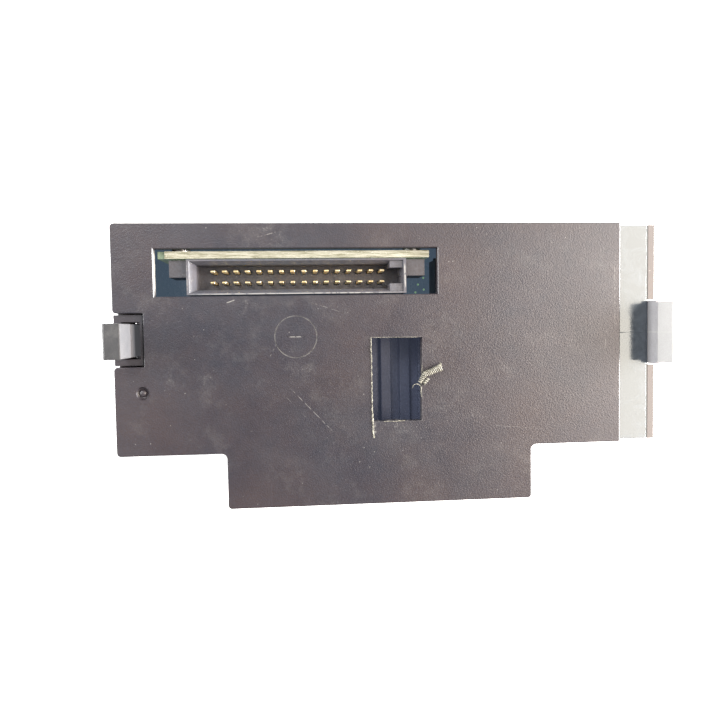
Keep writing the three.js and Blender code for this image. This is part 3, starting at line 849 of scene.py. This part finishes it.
@dataclass
class RearCover:
    """The wide lid: connector opening, hand-cut window, latch notch, mould insert and dimple."""

    width: float = 63.75
    wing: float = 51.2
    tab_left: float = 23.95
    tab_right: float = 93.8
    right: float = 115.2
    wall: float = 2.0
    skirt_low: float = 21.5
    lip: float = 1.2
    lip_low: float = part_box("rear_cover")[0].z / MM
    rim: float = 0.35
    notch: tuple[float, float, float] = (6.5, 19.6, 31.4)
    opening: tuple[float, float, float, float] = (9.1, 72.1, 5.6, 16.05)
    window: tuple[float, float, float, float] = (56.75, 68.1, 25.85, 44.75)
    insert: tuple[float, float, float] = (39.8, 25.3, 4.67)
    dimple: tuple[float, float, float] = (6.0, 37.2, 1.5)
    stud: float = 1.0

    def outline(self, inset: float) -> list[Corner]:
        """Gives the lid's corners, drawn in by an inset."""
        notch_right, notch_top, notch_bottom = self.notch
        right, wing, low = self.right - inset, self.wing - inset, self.width - inset
        return [
            (inset, inset, 0.9),
            (right, inset, 0.25),
            (right, wing, 0.25),
            (self.tab_right - inset, wing, 1.2),
            (self.tab_right - inset, low, 0.8),
            (self.tab_left + inset, low, 0.8),
            (self.tab_left + inset, wing, 1.2),
            (inset, wing, 0.9),
            (inset, notch_bottom + inset, 0.8),
            (notch_right + inset, notch_bottom + inset, 0.3),
            (notch_right + inset, notch_top - inset, 0.3),
            (inset, notch_top - inset, 0.8),
        ]

    def shell(self) -> Shape:
        """Builds the lid with its skirt and the locating lip inside it."""
        lid = plate(self.outline(0.0), self.skirt_low, REAR_FACE)
        soften(lid, self.rim, at_level(REAR_FACE), 3)
        room = plate(self.outline(self.wall), self.skirt_low - 1, REAR_FACE - self.wall)
        inset = self.wall + 0.3
        lip = combined(
            plate(self.outline(inset), self.lip_low, REAR_FACE - self.wall + 0.5),
            [plate(self.outline(inset + self.lip), self.lip_low - 1, REAR_FACE - self.wall)],
        )
        return combined(combined(lid, [room]), [lip], "UNION")

    def flared(self, left: float, right: float, top: float, bottom: float) -> Shape:
        """Builds a cutter for a moulded opening, wider by a small rounding at the face."""
        cutter = slab(left, right, top, bottom, self.lip_low - 1, REAR_FACE - 0.18)
        cutter.faces.ensure_lookup_table()
        upper = max(cutter.faces, key=lambda face: face.calc_center_median().z)
        end = rise(cutter, [upper], Vector((0, 0, 0.3 * MM)))
        middle = PLAN.at((left + right) / 2, (top + bottom) / 2)
        factors = ((right - left + 0.6) / (right - left), (bottom - top + 0.6) / (bottom - top), 1.0)
        bmesh.ops.scale(cutter, vec=factors, verts=end, space=Matrix.Translation(-middle))
        return close(cutter)

    def ragged(self) -> Shape:
        """Builds the cutter for the window, whose sides wander as a knife's do."""
        left, right, top, bottom = self.window
        cutter = bmesh.new()
        ring = [
            cutter.verts.new(PLAN.at(*corner, self.lip_low - 1))
            for corner in ((left, top), (right, top), (right, bottom), (left, bottom))
        ]
        cutter.faces.new(ring)
        bmesh.ops.subdivide_edges(cutter, edges=cutter.edges[:], cuts=30)
        for vert in cutter.verts:
            low_side = vert.co.y < PLAN.at(0, bottom - 0.01).y
            reach = 0.34 if low_side else 0.13
            drift = noise.noise_vector(vert.co * 420.0) + 0.5 * noise.noise_vector(vert.co * 1500.0)
            vert.co.x += drift.x * 0.12 * MM
            vert.co.y += drift.y * reach * MM
        end = rise(cutter, cutter.faces[:], Vector((0, 0, (REAR_FACE + 2 - self.lip_low) * MM)))
        for vert in end:
            down = (PLAN.top - vert.co.y) / MM
            if vert.co.x > PLAN.at(right - 0.3, 0).x:
                vert.co.x += 0.3 * MM * max(0.0, 1 - (down - top) / 14.0)
        return close(cutter)

    def groove(self) -> Shape:
        """Builds the cutter for the round seam of the mould insert."""
        across, down, radius = self.insert
        centre = PLAN.at(across, down, REAR_FACE)
        cutter = bmesh.new()
        corners = ((-0.16, 0.1), (-0.06, -0.09), (0.06, -0.09), (0.16, 0.1))
        ring = [cutter.verts.new(centre + Vector(((radius + x) * MM, 0, z * MM))) for x, z in corners]
        edges = [cutter.edges.new((ring[i - 1], ring[i])) for i in range(4)]
        bmesh.ops.spin(
            cutter,
            geom=[*ring, *edges],
            cent=centre,
            axis=(0, 0, 1),
            angle=math.tau,
            steps=72,
            use_merge=True,
        )
        return close(cutter)

    def pit(self) -> Shape:
        """Builds the cutter for the dimple: a tapered pit with a rounded floor."""
        across, down, radius = self.dimple
        cutter = bmesh.new()
        place = Matrix.Translation(PLAN.at(across, down, REAR_FACE + 0.05))
        bmesh.ops.create_uvsphere(cutter, u_segments=28, v_segments=14, radius=radius * MM, matrix=place)
        bmesh.ops.scale(cutter, vec=(1, 1, 0.6), verts=cutter.verts, space=place.inverted())
        return cutter

    def dome(self) -> Shape:
        """Builds the smooth stud that stands in the dimple."""
        across, down, _ = self.dimple
        shape = bmesh.new()
        place = Matrix.Translation(PLAN.at(across, down, REAR_FACE - self.stud - 0.1))
        bmesh.ops.create_uvsphere(shape, u_segments=28, v_segments=16, radius=self.stud * MM, matrix=place)
        return shape

    def build(self) -> None:
        """Builds the lid and everything the knife left on it."""
        across, down, _ = self.insert
        slot = slab(across - 1.9, across + 1.9, down - 0.22, down + 0.22, REAR_FACE - 0.1, REAR_FACE + 1)
        over_panel = slab(self.right - 2.3, self.right + 1, -1, self.width, self.lip_low - 1, LEDGE + 0.3)
        tools = [over_panel, self.flared(*self.opening), self.ragged(), self.groove(), self.pit(), slot]
        lid = close(combined(self.shell(), tools))
        whole = merged(lid, self.dome())
        publish("rear_cover_shell", whole, [CASING.make()], Body.CASE, ["rear_cover"])
        torn = TornPlastic("torn_plastic").make()
        publish("window_burr", self.burrs(), [torn], Body.CASE)
        publish("swarf_tuft", self.swarf(), [torn], Body.CASE, crease=180.0)

    def ridge(self, start: tuple[float, float], end: tuple[float, float], width: float, height: float) -> Shape:
        """Builds a torn ridge that stands along a cut.

        Args:
            start: One end, from the left end and the top edge.
            end: The other end.
            width: Its mean width, in millimetres.
            height: Its mean height, in millimetres.

        Returns:
            The closed ridge.
        """
        first, last = PLAN.at(*start, REAR_FACE - 0.12), PLAN.at(*end, REAR_FACE - 0.12)
        run = last - first
        side = Vector((-run.y, run.x, 0)).normalized()
        steps = max(6, int(run.length / (0.28 * MM)))
        shape = bmesh.new()
        bmesh.ops.create_cube(shape, size=1.0)
        for vert in shape.verts:
            taper = 0.5 if vert.co.z < 0 else 0.16
            share, offset, up = vert.co.x + 0.5, 2 * vert.co.y, vert.co.z + 0.5
            vert.co = first + run * share + side * offset * width * taper * MM
            vert.co.z += up * (height + 0.12) * MM
        lengthways = [edge for edge in shape.edges if edge.calc_length() > run.length * 0.9]
        bmesh.ops.subdivide_edges(shape, edges=lengthways, cuts=steps)
        for vert in shape.verts:
            drift = noise.noise_vector(vert.co * 1900.0)
            upper = vert.co.z > REAR_FACE * MM
            vert.co += side * drift.x * width * 0.5 * MM
            vert.co.z += drift.z * height * 0.7 * MM if upper else 0.0
        return close(shape)

    def burrs(self) -> Shape:
        """Builds the burrs along the window's rim and where the knife ran on."""
        left, right, top, bottom = self.window
        return merged(
            self.ridge((left - 0.1, top - 0.15), (left - 0.06, bottom + 0.3), 0.26, 0.12),
            self.ridge((left - 0.16, top + 1.6), (left - 0.12, top + 3.2), 0.34, 0.2),
            self.ridge((left - 0.06, bottom - 2.4), (left + 0.1, bottom + 1.6), 0.28, 0.16),
            self.ridge((left + 0.04, bottom + 1.0), (left + 0.2, bottom + 3.9), 0.5, 0.16),
            self.ridge((left + 0.3, top - 0.1), (right - 0.9, top - 0.06), 0.14, 0.05),
            self.ridge((left + 2.6, bottom + 0.16), (left + 7.4, bottom + 0.1), 0.24, 0.08),
            self.ridge((right + 0.15, top + 6.4), (right + 0.1, top + 10.0), 0.14, 0.06),
        )

    def curl(self, start: Vector, end: Vector, radius: float, turns: float, swell: float) -> Shape:
        """Builds one helical chip as a ribbon turned round a line.

        Args:
            start: Where the chip is rooted.
            end: Its far end.
            radius: Its radius at the root, in millimetres.
            turns: How many turns it makes.
            swell: How much wider its far end is.

        Returns:
            The closed ribbon.
        """
        run = end - start
        axis = run.normalized()
        side = axis.orthogonal().normalized()
        steps = int(turns * 18)
        pitch = run.length / turns
        shape = bmesh.new()
        root = shape.verts.new(start + side * radius * MM)
        tip = shape.verts.new(start + side * radius * 0.92 * MM + axis * pitch * 0.62)
        edge = shape.edges.new((root, tip))
        bmesh.ops.spin(
            shape,
            geom=[root, tip, edge],
            cent=start,
            axis=axis,
            dvec=run / steps,
            angle=math.tau * turns,
            steps=steps,
            use_merge=False,
        )
        for vert in shape.verts:
            share = (vert.co - start).dot(axis) / run.length
            centre = start + axis * (vert.co - start).dot(axis)
            wobble = 1 + 0.25 * noise.noise(vert.co * 1400.0)
            vert.co = centre + (vert.co - centre) * (1 + swell * share) * wobble
        bmesh.ops.solidify(shape, geom=shape.faces[:], thickness=0.07 * MM)
        bmesh.ops.recalc_face_normals(shape, faces=shape.faces)
        return shape

    def strand(self, points: Sequence[tuple[float, float, float]], radius: float) -> Shape:
        """Builds a thin thread through points given from the left end, the top edge and in height."""
        path = [PLAN.at(*point) for point in points]
        heading = (path[1] - path[0]).normalized()
        shape = bmesh.new()
        place = Matrix.Translation(path[0]) @ Vector((0, 0, 1)).rotation_difference(heading).to_matrix().to_4x4()
        bmesh.ops.create_circle(shape, cap_ends=True, segments=6, radius=radius * MM, matrix=place)
        face = shape.faces[:][0]
        for before, here in zip(path, path[1:]):
            turn = heading.rotation_difference((here - before).normalized()).to_matrix()
            heading = (here - before).normalized()
            made = bmesh.ops.extrude_discrete_faces(shape, faces=[face])["faces"]
            face = made[0]
            bmesh.ops.rotate(shape, verts=face.verts, cent=before, matrix=turn)
            bmesh.ops.translate(shape, verts=face.verts, vec=here - before)
        return close(shape)

    def swarf(self) -> Shape:
        """Builds the tuft of chips left hanging on the window's right rim."""
        high = REAR_FACE
        return merged(
            self.curl(PLAN.at(67.5, 36.4, high + 0.2), PLAN.at(68.9, 34.0, high + 0.75), 0.42, 6.0, 0.35),
            self.curl(PLAN.at(68.5, 34.4, high + 0.75), PLAN.at(72.5, 32.7, high + 0.95), 0.58, 11.0, 0.35),
            self.curl(PLAN.at(68.3, 36.6, high + 0.3), PLAN.at(69.4, 35.4, high + 0.6), 0.34, 3.0, 0.2),
            self.strand(
                [(67.6, 36.8, high + 0.3), (67.2, 36.5, high + 0.5), (66.6, 36.45, high + 0.5), (66.1, 36.8, high + 0.3),
                 (65.95, 37.4, high)],
                0.09,
            ),
            self.strand(
                [(67.7, 36.7, high + 0.2), (67.95, 37.4, high + 0.4), (67.85, 38.4, high + 0.3), (68.0, 39.4, high + 0.2)],
                0.08,
            ),
            self.strand([(72.3, 31.6, high + 0.3), (72.5, 32.6, high + 1.4), (72.45, 33.6, high + 0.5)], 0.08),
        )


CASING = MouldedPlastic(
    name="casing_grain",
    cool=(0.0118, 0.0118, 0.0165),
    warm=(0.021, 0.0138, 0.014),
    gloss=(0.33, 0.41),
    grain=0.36,
    relief=0.055,
    dust=0.4,
    ring=(39.8, 25.3, 4.67),
    marks=(
        Mark((38.1, 25.3), (41.5, 25.3), 0.4, 0.2, 0.35),
        Mark((38.2, 36.7), (48.2, 47.4), 0.2, 0.35, 0.28),
        Mark((36.6, 38.0), (44.5, 46.5), 0.16, 0.8, 0.35),
        Mark((33.4, 30.6), (35.9, 26.0), 0.14, 0.7, 0.3),
        Mark((24.6, 17.6), (26.6, 16.9), 0.3, 0.3, 0.45),
        Mark((31.8, 3.2), (36.4, 1.9), 0.24, 0.6, 0.3),
        Mark((43.0, 17.6), (51.5, 20.4), 0.14, 0.6, 0.3),
        Mark((113.8, 8.0), (113.9, 24.6), 0.22, 0.5, 0.25),
        Mark((111.6, 26.8), (111.7, 29.5), 0.22, 0.3, 0.22),
        Mark((84.0, 46.5), (97.0, 47.6), 0.12, 0.6, 0.25),
        Mark((57.1, 44.8), (57.3, 47.9), 1.0, 0.5, 0.25),
        # Painted highlight: an unbroken pale line on the connector opening's left cut wall, which faces the lights.
        Mark((9.08, 5.4), (9.08, 16.2), 0.36, 0.0, 0.7),
    ),
    rubs=(
        Rub((40.7, 31.5), 5.5, 0.2),
        Rub((13.1, 33.9), 3.5, 0.22),
        Rub((20.7, 34.5), 3.2, 0.2),
        Rub((28.7, 18.0), 3.0, 0.25),
        Rub((33.0, 2.6), 9.0, 0.2),
        Rub((48.0, 19.8), 6.0, 0.12),
        Rub((46.0, 45.0), 8.0, 0.1),
        Rub((62.5, 46.6), 7.0, 0.14),
        Rub((74.0, 40.0), 8.0, 0.12),
        Rub((72.5, 25.0), 7.0, 0.16),
    ),
    whitened=(56.75, 68.1, 25.85, 44.75),
)


# ---------------------------------------------------------------- housing and end panel


@dataclass
class FrontTub:
    """The tub under the lid, with the latch pocket, the board posts and the end wall."""

    rounding: float = 0.22
    polished_from: float = 123.3

    def build(self) -> None:
        """Builds the tub."""
        finish = MouldedPlastic(
            name="tub_grain",
            cool=CASING.cool,
            warm=CASING.warm,
            gloss=(0.4, 0.52),
            grain=0.34,
            relief=0.025,
            dust=0.25,
            polished_from=self.polished_from,
        )
        shape = refined_copy("front_housing", self.rounding, 2)
        publish("housing_tub", shape, [finish.make()], Body.CASE, ["front_housing"])


@dataclass
class EndPanel:
    """The polished plate one step below the rear face, with a fine parting line."""

    left: float = 115.2
    right: float = 123.2
    parting: float = 25.6

    def build(self) -> None:
        """Builds the panel and its parting line."""
        panel = refined_copy("end_panel", 0.16, 2)
        line = slab(self.left, self.right, self.parting - 0.08, self.parting + 0.08, LEDGE - 0.1, LEDGE + 0.05)
        seam = slab(self.right, self.right + 0.3, 0.35, 51.0, LEDGE - 1.4, LEDGE - 0.12)
        shape = merged(panel, soften(line, 0.03, at_level(LEDGE + 0.05)), seam)
        finish = PolishedPanel("panel_polish")
        publish("end_panel_polished", shape, [finish.make()], Body.CASE, ["end_panel"])


# ---------------------------------------------------------------- latches


@dataclass
class Latches:
    """The two spring latches, each a bent strip of the moulding."""

    middle: float = 25.6
    parting: float = 0.16
    # The left latch's painted tones change at the deck and deep heights.
    deck: float = 25.0
    deep: float = 21.8

    def depth_of(self, face: bmesh.types.BMFace) -> int:
        """Gives the number of the finish that a face of the left latch takes; faces that look along +X get painted
        light by height.
        """
        if face.normal.x < 0.95:
            return 0
        height = face.calc_center_median().z / MM
        return 1 if height > self.deck else 2 if height > self.deep else 3

    def finish(
        self, name: str, shade: float, painted_light_above: Optional[float] = None, painted_glow: float = 0.0
    ) -> MouldedPlastic:
        """Gives the satin plastic of a latch, with dust, a pale line painted along its parting line and, where set, a
        painted paler top.

        Args:
            name: The material's name.
            shade: How pale it is, up to 1.
            painted_light_above: Height above which it is painted paler, a painted highlight, in millimetres.
            painted_glow: Strength of a painted glow in its colour, which stands in for the light that the walls around
                it pass on, up to 1.

        Returns:
            The finish.
        """
        return MouldedPlastic(
            name=name,
            painted_glow=painted_glow,
            cool=(shade, shade * 1.02, shade * 1.1),
            warm=(shade * 1.2, shade * 1.15, shade * 1.15),
            gloss=(0.3, 0.46),
            grain=0.22,
            relief=0.012,
            dust=0.8,
            painted_light_above=painted_light_above,
            # A pale unbroken line painted along the parting line across the right latch.
            marks=(Mark((120.5, 25.6), (126.5, 25.6), 0.22, 0.0, 0.9),),
        )

    def build(self) -> None:
        """Builds both latches."""
        left = refined_copy("left_latch", 0.16, 2)
        for level in (self.deck, self.deep):
            bmesh.ops.bisect_plane(
                left,
                geom=[*left.verts, *left.edges, *left.faces],
                plane_co=(0, 0, level * MM),
                plane_no=(0, 0, 1),
            )
        for face in left.faces:
            face.material_index = self.depth_of(face)
        # The inner face of the left latch is painted in three tones by height to stand in for the light in the slot: a
        # painted highlight above the deck, a painted glow below it, and a dimmer painted glow lower down. It is not
        # wear or a change of material.
        finishes = [
            self.finish("left_latch_satin", 0.018).make(),
            self.finish("left_latch_painted_highlight", 0.085).make(),
            self.finish("left_latch_painted_slot_light", 0.13, painted_glow=1.0).make(),
            self.finish("left_latch_painted_slot_dim", 0.06, painted_glow=1.0).make(),
        ]
        publish("left_latch_arm", left, finishes, Body.LEFT_LATCH, ["left_latch"], crease=20.0)
        right = merged(refined_copy("right_latch", 0.18, 3), self.parting_line())
        # The right latch's shade of 0.17 is set paler than the other latch to stand in for the glare on that end, and
        # above 27.4 mm it is painted paler still, a painted highlight.
        publish("right_latch_tongue", right, [self.finish("right_latch_satin", 0.17, 27.4).make()],
                Body.RIGHT_LATCH, ["right_latch"])

    def parting_line(self) -> Shape:
        """Builds the fine line where the two halves of the mould met, over the right latch."""
        low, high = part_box("right_latch")
        left, right, top = (low.x - PLAN.left) / MM, (high.x - PLAN.left) / MM, high.z / MM
        reach = 0.05
        profile = [
            (right - 0.1, top + reach),
            (left + 1.3, top + reach),
            (left - reach, top - 3.95),
            (left + 0.3, top - 4.1),
            (left + 1.7, top - 0.4),
            (right - 0.1, top - 0.4),
        ]
        return across_body(profile, self.middle, self.parting)


# ---------------------------------------------------------------- bus header


@dataclass
class BusHeader:
    """The shrouded two-row header: moulded body, thirty-two contacts and two screws."""

    columns: int = 16
    rows: tuple[str, ...] = ("a", "b")

    def build(self) -> None:
        """Builds the header's body, contacts and screws."""
        finish = MouldedPlastic(
            name="header_satin",
            cool=(0.038, 0.041, 0.05),
            warm=(0.052, 0.044, 0.046),
            gloss=(0.34, 0.46),
            grain=0.5,
            relief=0.014,
            dust=0.9,
            marks=(
                # Pale lines painted along the shroud's right end, bottom rim and left end: painted highlights where the
                # rim edges catch the light.
                Mark((64.55, 9.0), (64.7, 15.0), 0.5, 0.3, 0.5),
                Mark((16.2, 15.6), (64.9, 15.6), 0.3, 0.25, 0.5),
                Mark((16.25, 8.0), (16.25, 15.7), 0.3, 0.6, 0.25),
            ),
        )
        shroud = refined_copy("bus_shroud", 0.06, 1)
        publish("header_body", shroud, [finish.make()], Body.CASE, ["bus_shroud"], crease=15.0)
        gold = GoldPlate("contact_gold").make()
        for row in self.rows:
            for column in range(1, self.columns + 1):
                self.contact(f"{row}{column:02d}", gold)
        steel = BareMetal("screw_steel", (0.6, 0.6, 0.61)).make()
        for side in ("left", "right"):
            node = f"header_screw_{side}"
            shape = refined_copy(node, 0.12)
            publish(f"{node}_turned", shape, [steel], Body.CASE, [node])

    def contact(self, number: str, gold: bpy.types.Material) -> None:
        """Builds one contact with its edges broken."""
        node = f"bus_pin_{number}"
        shape = refined_copy(node, 0.07, 1)
        publish(f"contact_{number}", shape, [gold], Body.CASE, [node])


# ---------------------------------------------------------------- boards and what stands on them


@dataclass
class Boards:
    """The upright connector board, the main board, the guard and the fitted parts."""

    rim: float = 24.3

    def build(self) -> None:
        """Builds the boards and the parts on them."""
        self.connector_board()
        # The teal mask's glow of 0.6 is painted light: it lifts the board that lies in shade deep inside the case.
        mask = SolderMask("mask_teal", (0.06, 0.08, 0.115), (0.085, 0.125, 0.175), 0.6).make()
        publish("main_board_masked", refined_copy("main_board", 0.05, 1), [mask],
                Body.CASE, ["main_board"])
        # The dots' glow of 0.5 is painted light in the same deep shade.
        publish("solder_dots", self.dots(), [SolderMask("dot_green", (0.2, 0.42, 0.24), (0.3, 0.5, 0.3), 0.5).make()],
                Body.CASE)
        # The guard's glow of 0.6 is painted light: it lifts the shade between its ribs deep in the case.
        guard = MouldedPlastic(
            name="guard_navy",
            cool=(0.03, 0.036, 0.058),
            warm=(0.034, 0.036, 0.056),
            gloss=(0.4, 0.5),
            grain=0.5,
            relief=0.01,
            dust=0.1,
            painted_glow=0.6,
        )
        publish("ribbed_guard", refined_copy("board_guard", 0.3, 3), [guard.make()],
                Body.CASE, ["board_guard"])
        self.fitted()

    def connector_board(self) -> None:
        """Builds the upright board: sawn cream edge above, masked faces."""
        shape = refined_copy("connector_board", 0.06, 1)
        bmesh.ops.recalc_face_normals(shape, faces=shape.faces)
        for face in shape.faces:
            sawn = face.calc_center_median().z > self.rim * MM and face.normal.z > 0.3
            face.material_index = 0 if sawn else 1
        materials = [
            LaminateEdge("laminate_edge").make(),
            # The olive mask's glow of 0.4 is painted light that lifts its shade inside the opening.
            SolderMask("mask_olive", (0.1, 0.14, 0.09), (0.15, 0.19, 0.13), 0.4).make(),
        ]
        publish("upright_board", shape, materials, Body.CASE, ["connector_board"])

    def dots(self) -> Shape:
        """Builds small solder domes on the main board, seen beside the header."""
        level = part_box("main_board")[1].z / MM
        places = ((70.6, 6.2), (71.9, 7.9), (70.9, 9.6), (72.6, 10.9), (71.2, 12.6), (72.7, 13.9), (70.5, 14.6))
        whole = bmesh.new()
        for across, down in places:
            place = Matrix.Translation(PLAN.at(across, down, level)) @ Matrix.Diagonal((1, 1, 0.45, 1))
            bmesh.ops.create_icosphere(whole, subdivisions=2, radius=0.28 * MM, matrix=place)
        return whole

    def fitted(self) -> None:
        """Gives the chips and other fitted parts their finishes."""
        epoxy = MouldedPlastic("chip_epoxy", (0.02, 0.02, 0.022), (0.027, 0.026, 0.026), (0.5, 0.65), 0.12, 0.01, 0.1)
        converter = MouldedPlastic("converter_case", (0.03, 0.034, 0.042), (0.04, 0.04, 0.046), (0.35, 0.5), 0.4, 0.01, 0.1)
        socket = MouldedPlastic("socket_plastic", (0.03, 0.03, 0.034), (0.036, 0.034, 0.036), (0.35, 0.5), 0.4, 0.01, 0.1)
        ceramic = MouldedPlastic("fuse_ceramic", (0.62, 0.58, 0.5), (0.7, 0.66, 0.58), (0.4, 0.55), 0.2, 0.006, 0.1)
        lamp = MouldedPlastic("lamp_body", (0.72, 0.7, 0.66), (0.78, 0.76, 0.7), (0.3, 0.45), 0.3, 0.004, 0.05)
        aluminium = BareMetal("drawn_aluminium", (0.78, 0.78, 0.79), Layer.UPRIGHT)
        steel = BareMetal("can_steel", (0.62, 0.62, 0.63))
        chips = epoxy.make()
        for node in ("processor_chip", "memory_chip", "bus_chip", "optocoupler"):
            publish(f"{node}_moulded", refined_copy(node, 0.08, 1), [chips], Body.CASE, [node])
        fittings = (
            ("isolating_converter", converter.make(), "converter"),
            ("card_edge_socket", socket.make(), "header"),
            ("fuse", ceramic.make(), "fuse"),
            ("led_block", lamp.make(), "lamp"),
            ("storage_capacitor", aluminium.make(), "capacitor"),
            ("clock_crystal", steel.make(), "steel"),
            ("board_screw_left", steel.make(), "steel"),
            ("board_screw_right", steel.make(), "steel"),
        )
        for node, material, slot in fittings:
            publish(f"{node}_fitted", refined_copy(node, 0.1, 2), [material], Body.CASE, [node])


@dataclass
class FrontFace:
    """What opens on the hidden front: the round port, the lamp window and the blank plate."""

    def build(self) -> None:
        """Builds the parts of the front face."""
        shell = MouldedPlastic("port_plastic", (0.03, 0.03, 0.034), (0.038, 0.036, 0.036), (0.3, 0.45), 0.3, 0.01, 0.1)
        insert = MouldedPlastic("port_insert_plastic", (0.02, 0.02, 0.024), (0.026, 0.024, 0.026), (0.4, 0.5), 0.3, 0.01, 0.05)
        parts = (
            ("port_shell", shell.make(), "port_shell", 0.14),
            ("port_insert", insert.make(), "port_insert", 0.08),
            ("led_window", ClearLens("lamp_lens").make(), "lamp_window", 0.1),
            ("front_label", PrintedFilm("blank_film").make(), "label", 0.06),
        )
        for node, material, slot, rounding in parts:
            publish(f"{node}_finished", refined_copy(node, rounding, 2), [material], Body.CASE, [node])


# ---------------------------------------------------------------- stage, lights and camera


@dataclass(frozen=True)
class SoftLight:
    """One rectangular soft light that points at the module.

    Attributes:
        name: The light's name.
        place: Where it stands, in metres.
        size: Its width and height, in metres.
        power: Its power, in watts.
        colour: Its colour.
    """

    name: str
    place: tuple[float, float, float]
    size: tuple[float, float]
    power: float
    colour: Colour = (1.0, 1.0, 1.0)

    def build(self) -> None:
        """Builds the light."""
        data = bpy.data.lights.new(self.name, "AREA")
        data.shape = "RECTANGLE"
        data.size, data.size_y = self.size
        data.energy = self.power
        data.color = self.colour
        lamp = bpy.data.objects.new(self.name, data)
        lamp.location = self.place
        lamp.rotation_euler = Vector(self.place).to_track_quat("Z", "Y").to_euler()
        lamp.visible_camera = False
        bpy.context.scene.collection.objects.link(lamp)


@dataclass
class Studio:
    """The white floor, the white surroundings, the lights and the camera."""

    floor_half: float = 3.0
    sky: float = 1.0
    floor_glow: float = 0.6
    eye: tuple[float, float, float] = (-0.02135, 0.008175, 0.172)
    right: tuple[float, float, float] = (0.99596, -0.01739, 0.0885)
    up: tuple[float, float, float] = (0.01888, 0.99870, -0.0466)
    back: tuple[float, float, float] = (-0.0878, 0.0483, 0.995)
    lens: float = 32.5

    def build(self) -> None:
        """Builds the whole stage."""
        self.surroundings()
        self.floor()
        SoftLight("upper_right_panel", (0.62, 0.06, 0.6), (0.55, 0.7), 16.5, (1.0, 0.86, 0.74)).build()
        SoftLight("low_right_strip", (0.75, 0.05, 0.2), (0.6, 0.12), 30.0).build()
        SoftLight("low_left_fill", (-0.7, 0.1, 0.25), (0.5, 0.3), 9.0).build()
        SoftLight("upper_left_fill", (-0.35, 0.38, 0.6), (0.3, 0.3), 4.0).build()
        self.dark_card()
        self.camera()

    def dark_card(self) -> None:
        """Hangs the dark card that the left half of the glossy lid mirrors."""
        shape = bmesh.new()
        centre = Vector(self.eye) + Vector((-0.004, -0.046, 0.02))
        place = Matrix.Translation(centre) @ Matrix.Diagonal((0.07, 0.06, 1, 1))
        bmesh.ops.create_grid(shape, x_segments=1, y_segments=1, size=1.0, matrix=place)
        card = bare_object("dark_card", shape)
        graph = Graph("card_black")
        graph.drive("Base Color", graph.mix(graph.noise(20.0), (0.01, 0.01, 0.01), (0.02, 0.02, 0.02)))
        card.data.materials.append(graph.material)
        card.visible_camera = False
        card.visible_shadow = False
        card.visible_diffuse = False

    def surroundings(self) -> None:
        """Makes the even white surroundings."""
        world = bpy.data.worlds.new("white_room")
        world.use_nodes = True
        background = world.node_tree.nodes["Background"]
        background.inputs["Color"].default_value = (1.0, 1.0, 1.0, 1.0)
        background.inputs["Strength"].default_value = self.sky
        bpy.context.scene.world = world
        bpy.context.scene.view_settings.view_transform = "Standard"

    def floor(self) -> None:
        """Lays the white floor at the module's lowest level."""
        shape = bmesh.new()
        place = Matrix.Translation((0, 0, CAD_BOX[0][2]))
        bmesh.ops.create_grid(shape, x_segments=2, y_segments=2, size=self.floor_half, matrix=place)
        floor = bare_object("white_floor", shape)
        graph = Graph("floor_white")
        tone = graph.remap(graph.noise(120.0, 2.0), 0.3, 0.7)
        graph.drive("Base Color", graph.mix(tone, (0.9, 0.9, 0.9), (0.93, 0.93, 0.93)))
        graph.fix(Roughness=0.6, Emission_Strength=self.floor_glow)
        graph.shader.inputs["Emission Color"].default_value = (1.0, 1.0, 1.0, 1.0)
        floor.data.materials.append(graph.material)

    def camera(self) -> None:
        """Sets up the camera from its axes."""
        data = bpy.data.cameras.new("view")
        data.lens = self.lens
        data.sensor_width = 36.0
        data.clip_start = 0.01
        data.clip_end = 20.0
        data.dof.use_dof = False
        camera = bpy.data.objects.new("view", data)
        turn = Matrix((self.right, self.up, self.back)).transposed().to_4x4()
        camera.matrix_world = Matrix.Translation(self.eye) @ turn
        bpy.context.scene.collection.objects.link(camera)
        bpy.context.scene.camera = camera


def main() -> None:
    """Builds the stage and every sub-assembly in turn."""
    logging.basicConfig(level=logging.INFO, format="%(name)s: %(message)s")
    for part in (Studio(), RearCover(), FrontTub(), EndPanel(), Latches(), BusHeader(), Boards(), FrontFace()):
        part.build()
        LOG.info("%s is done", type(part).__name__)


if __name__ == "__main__":
    main()
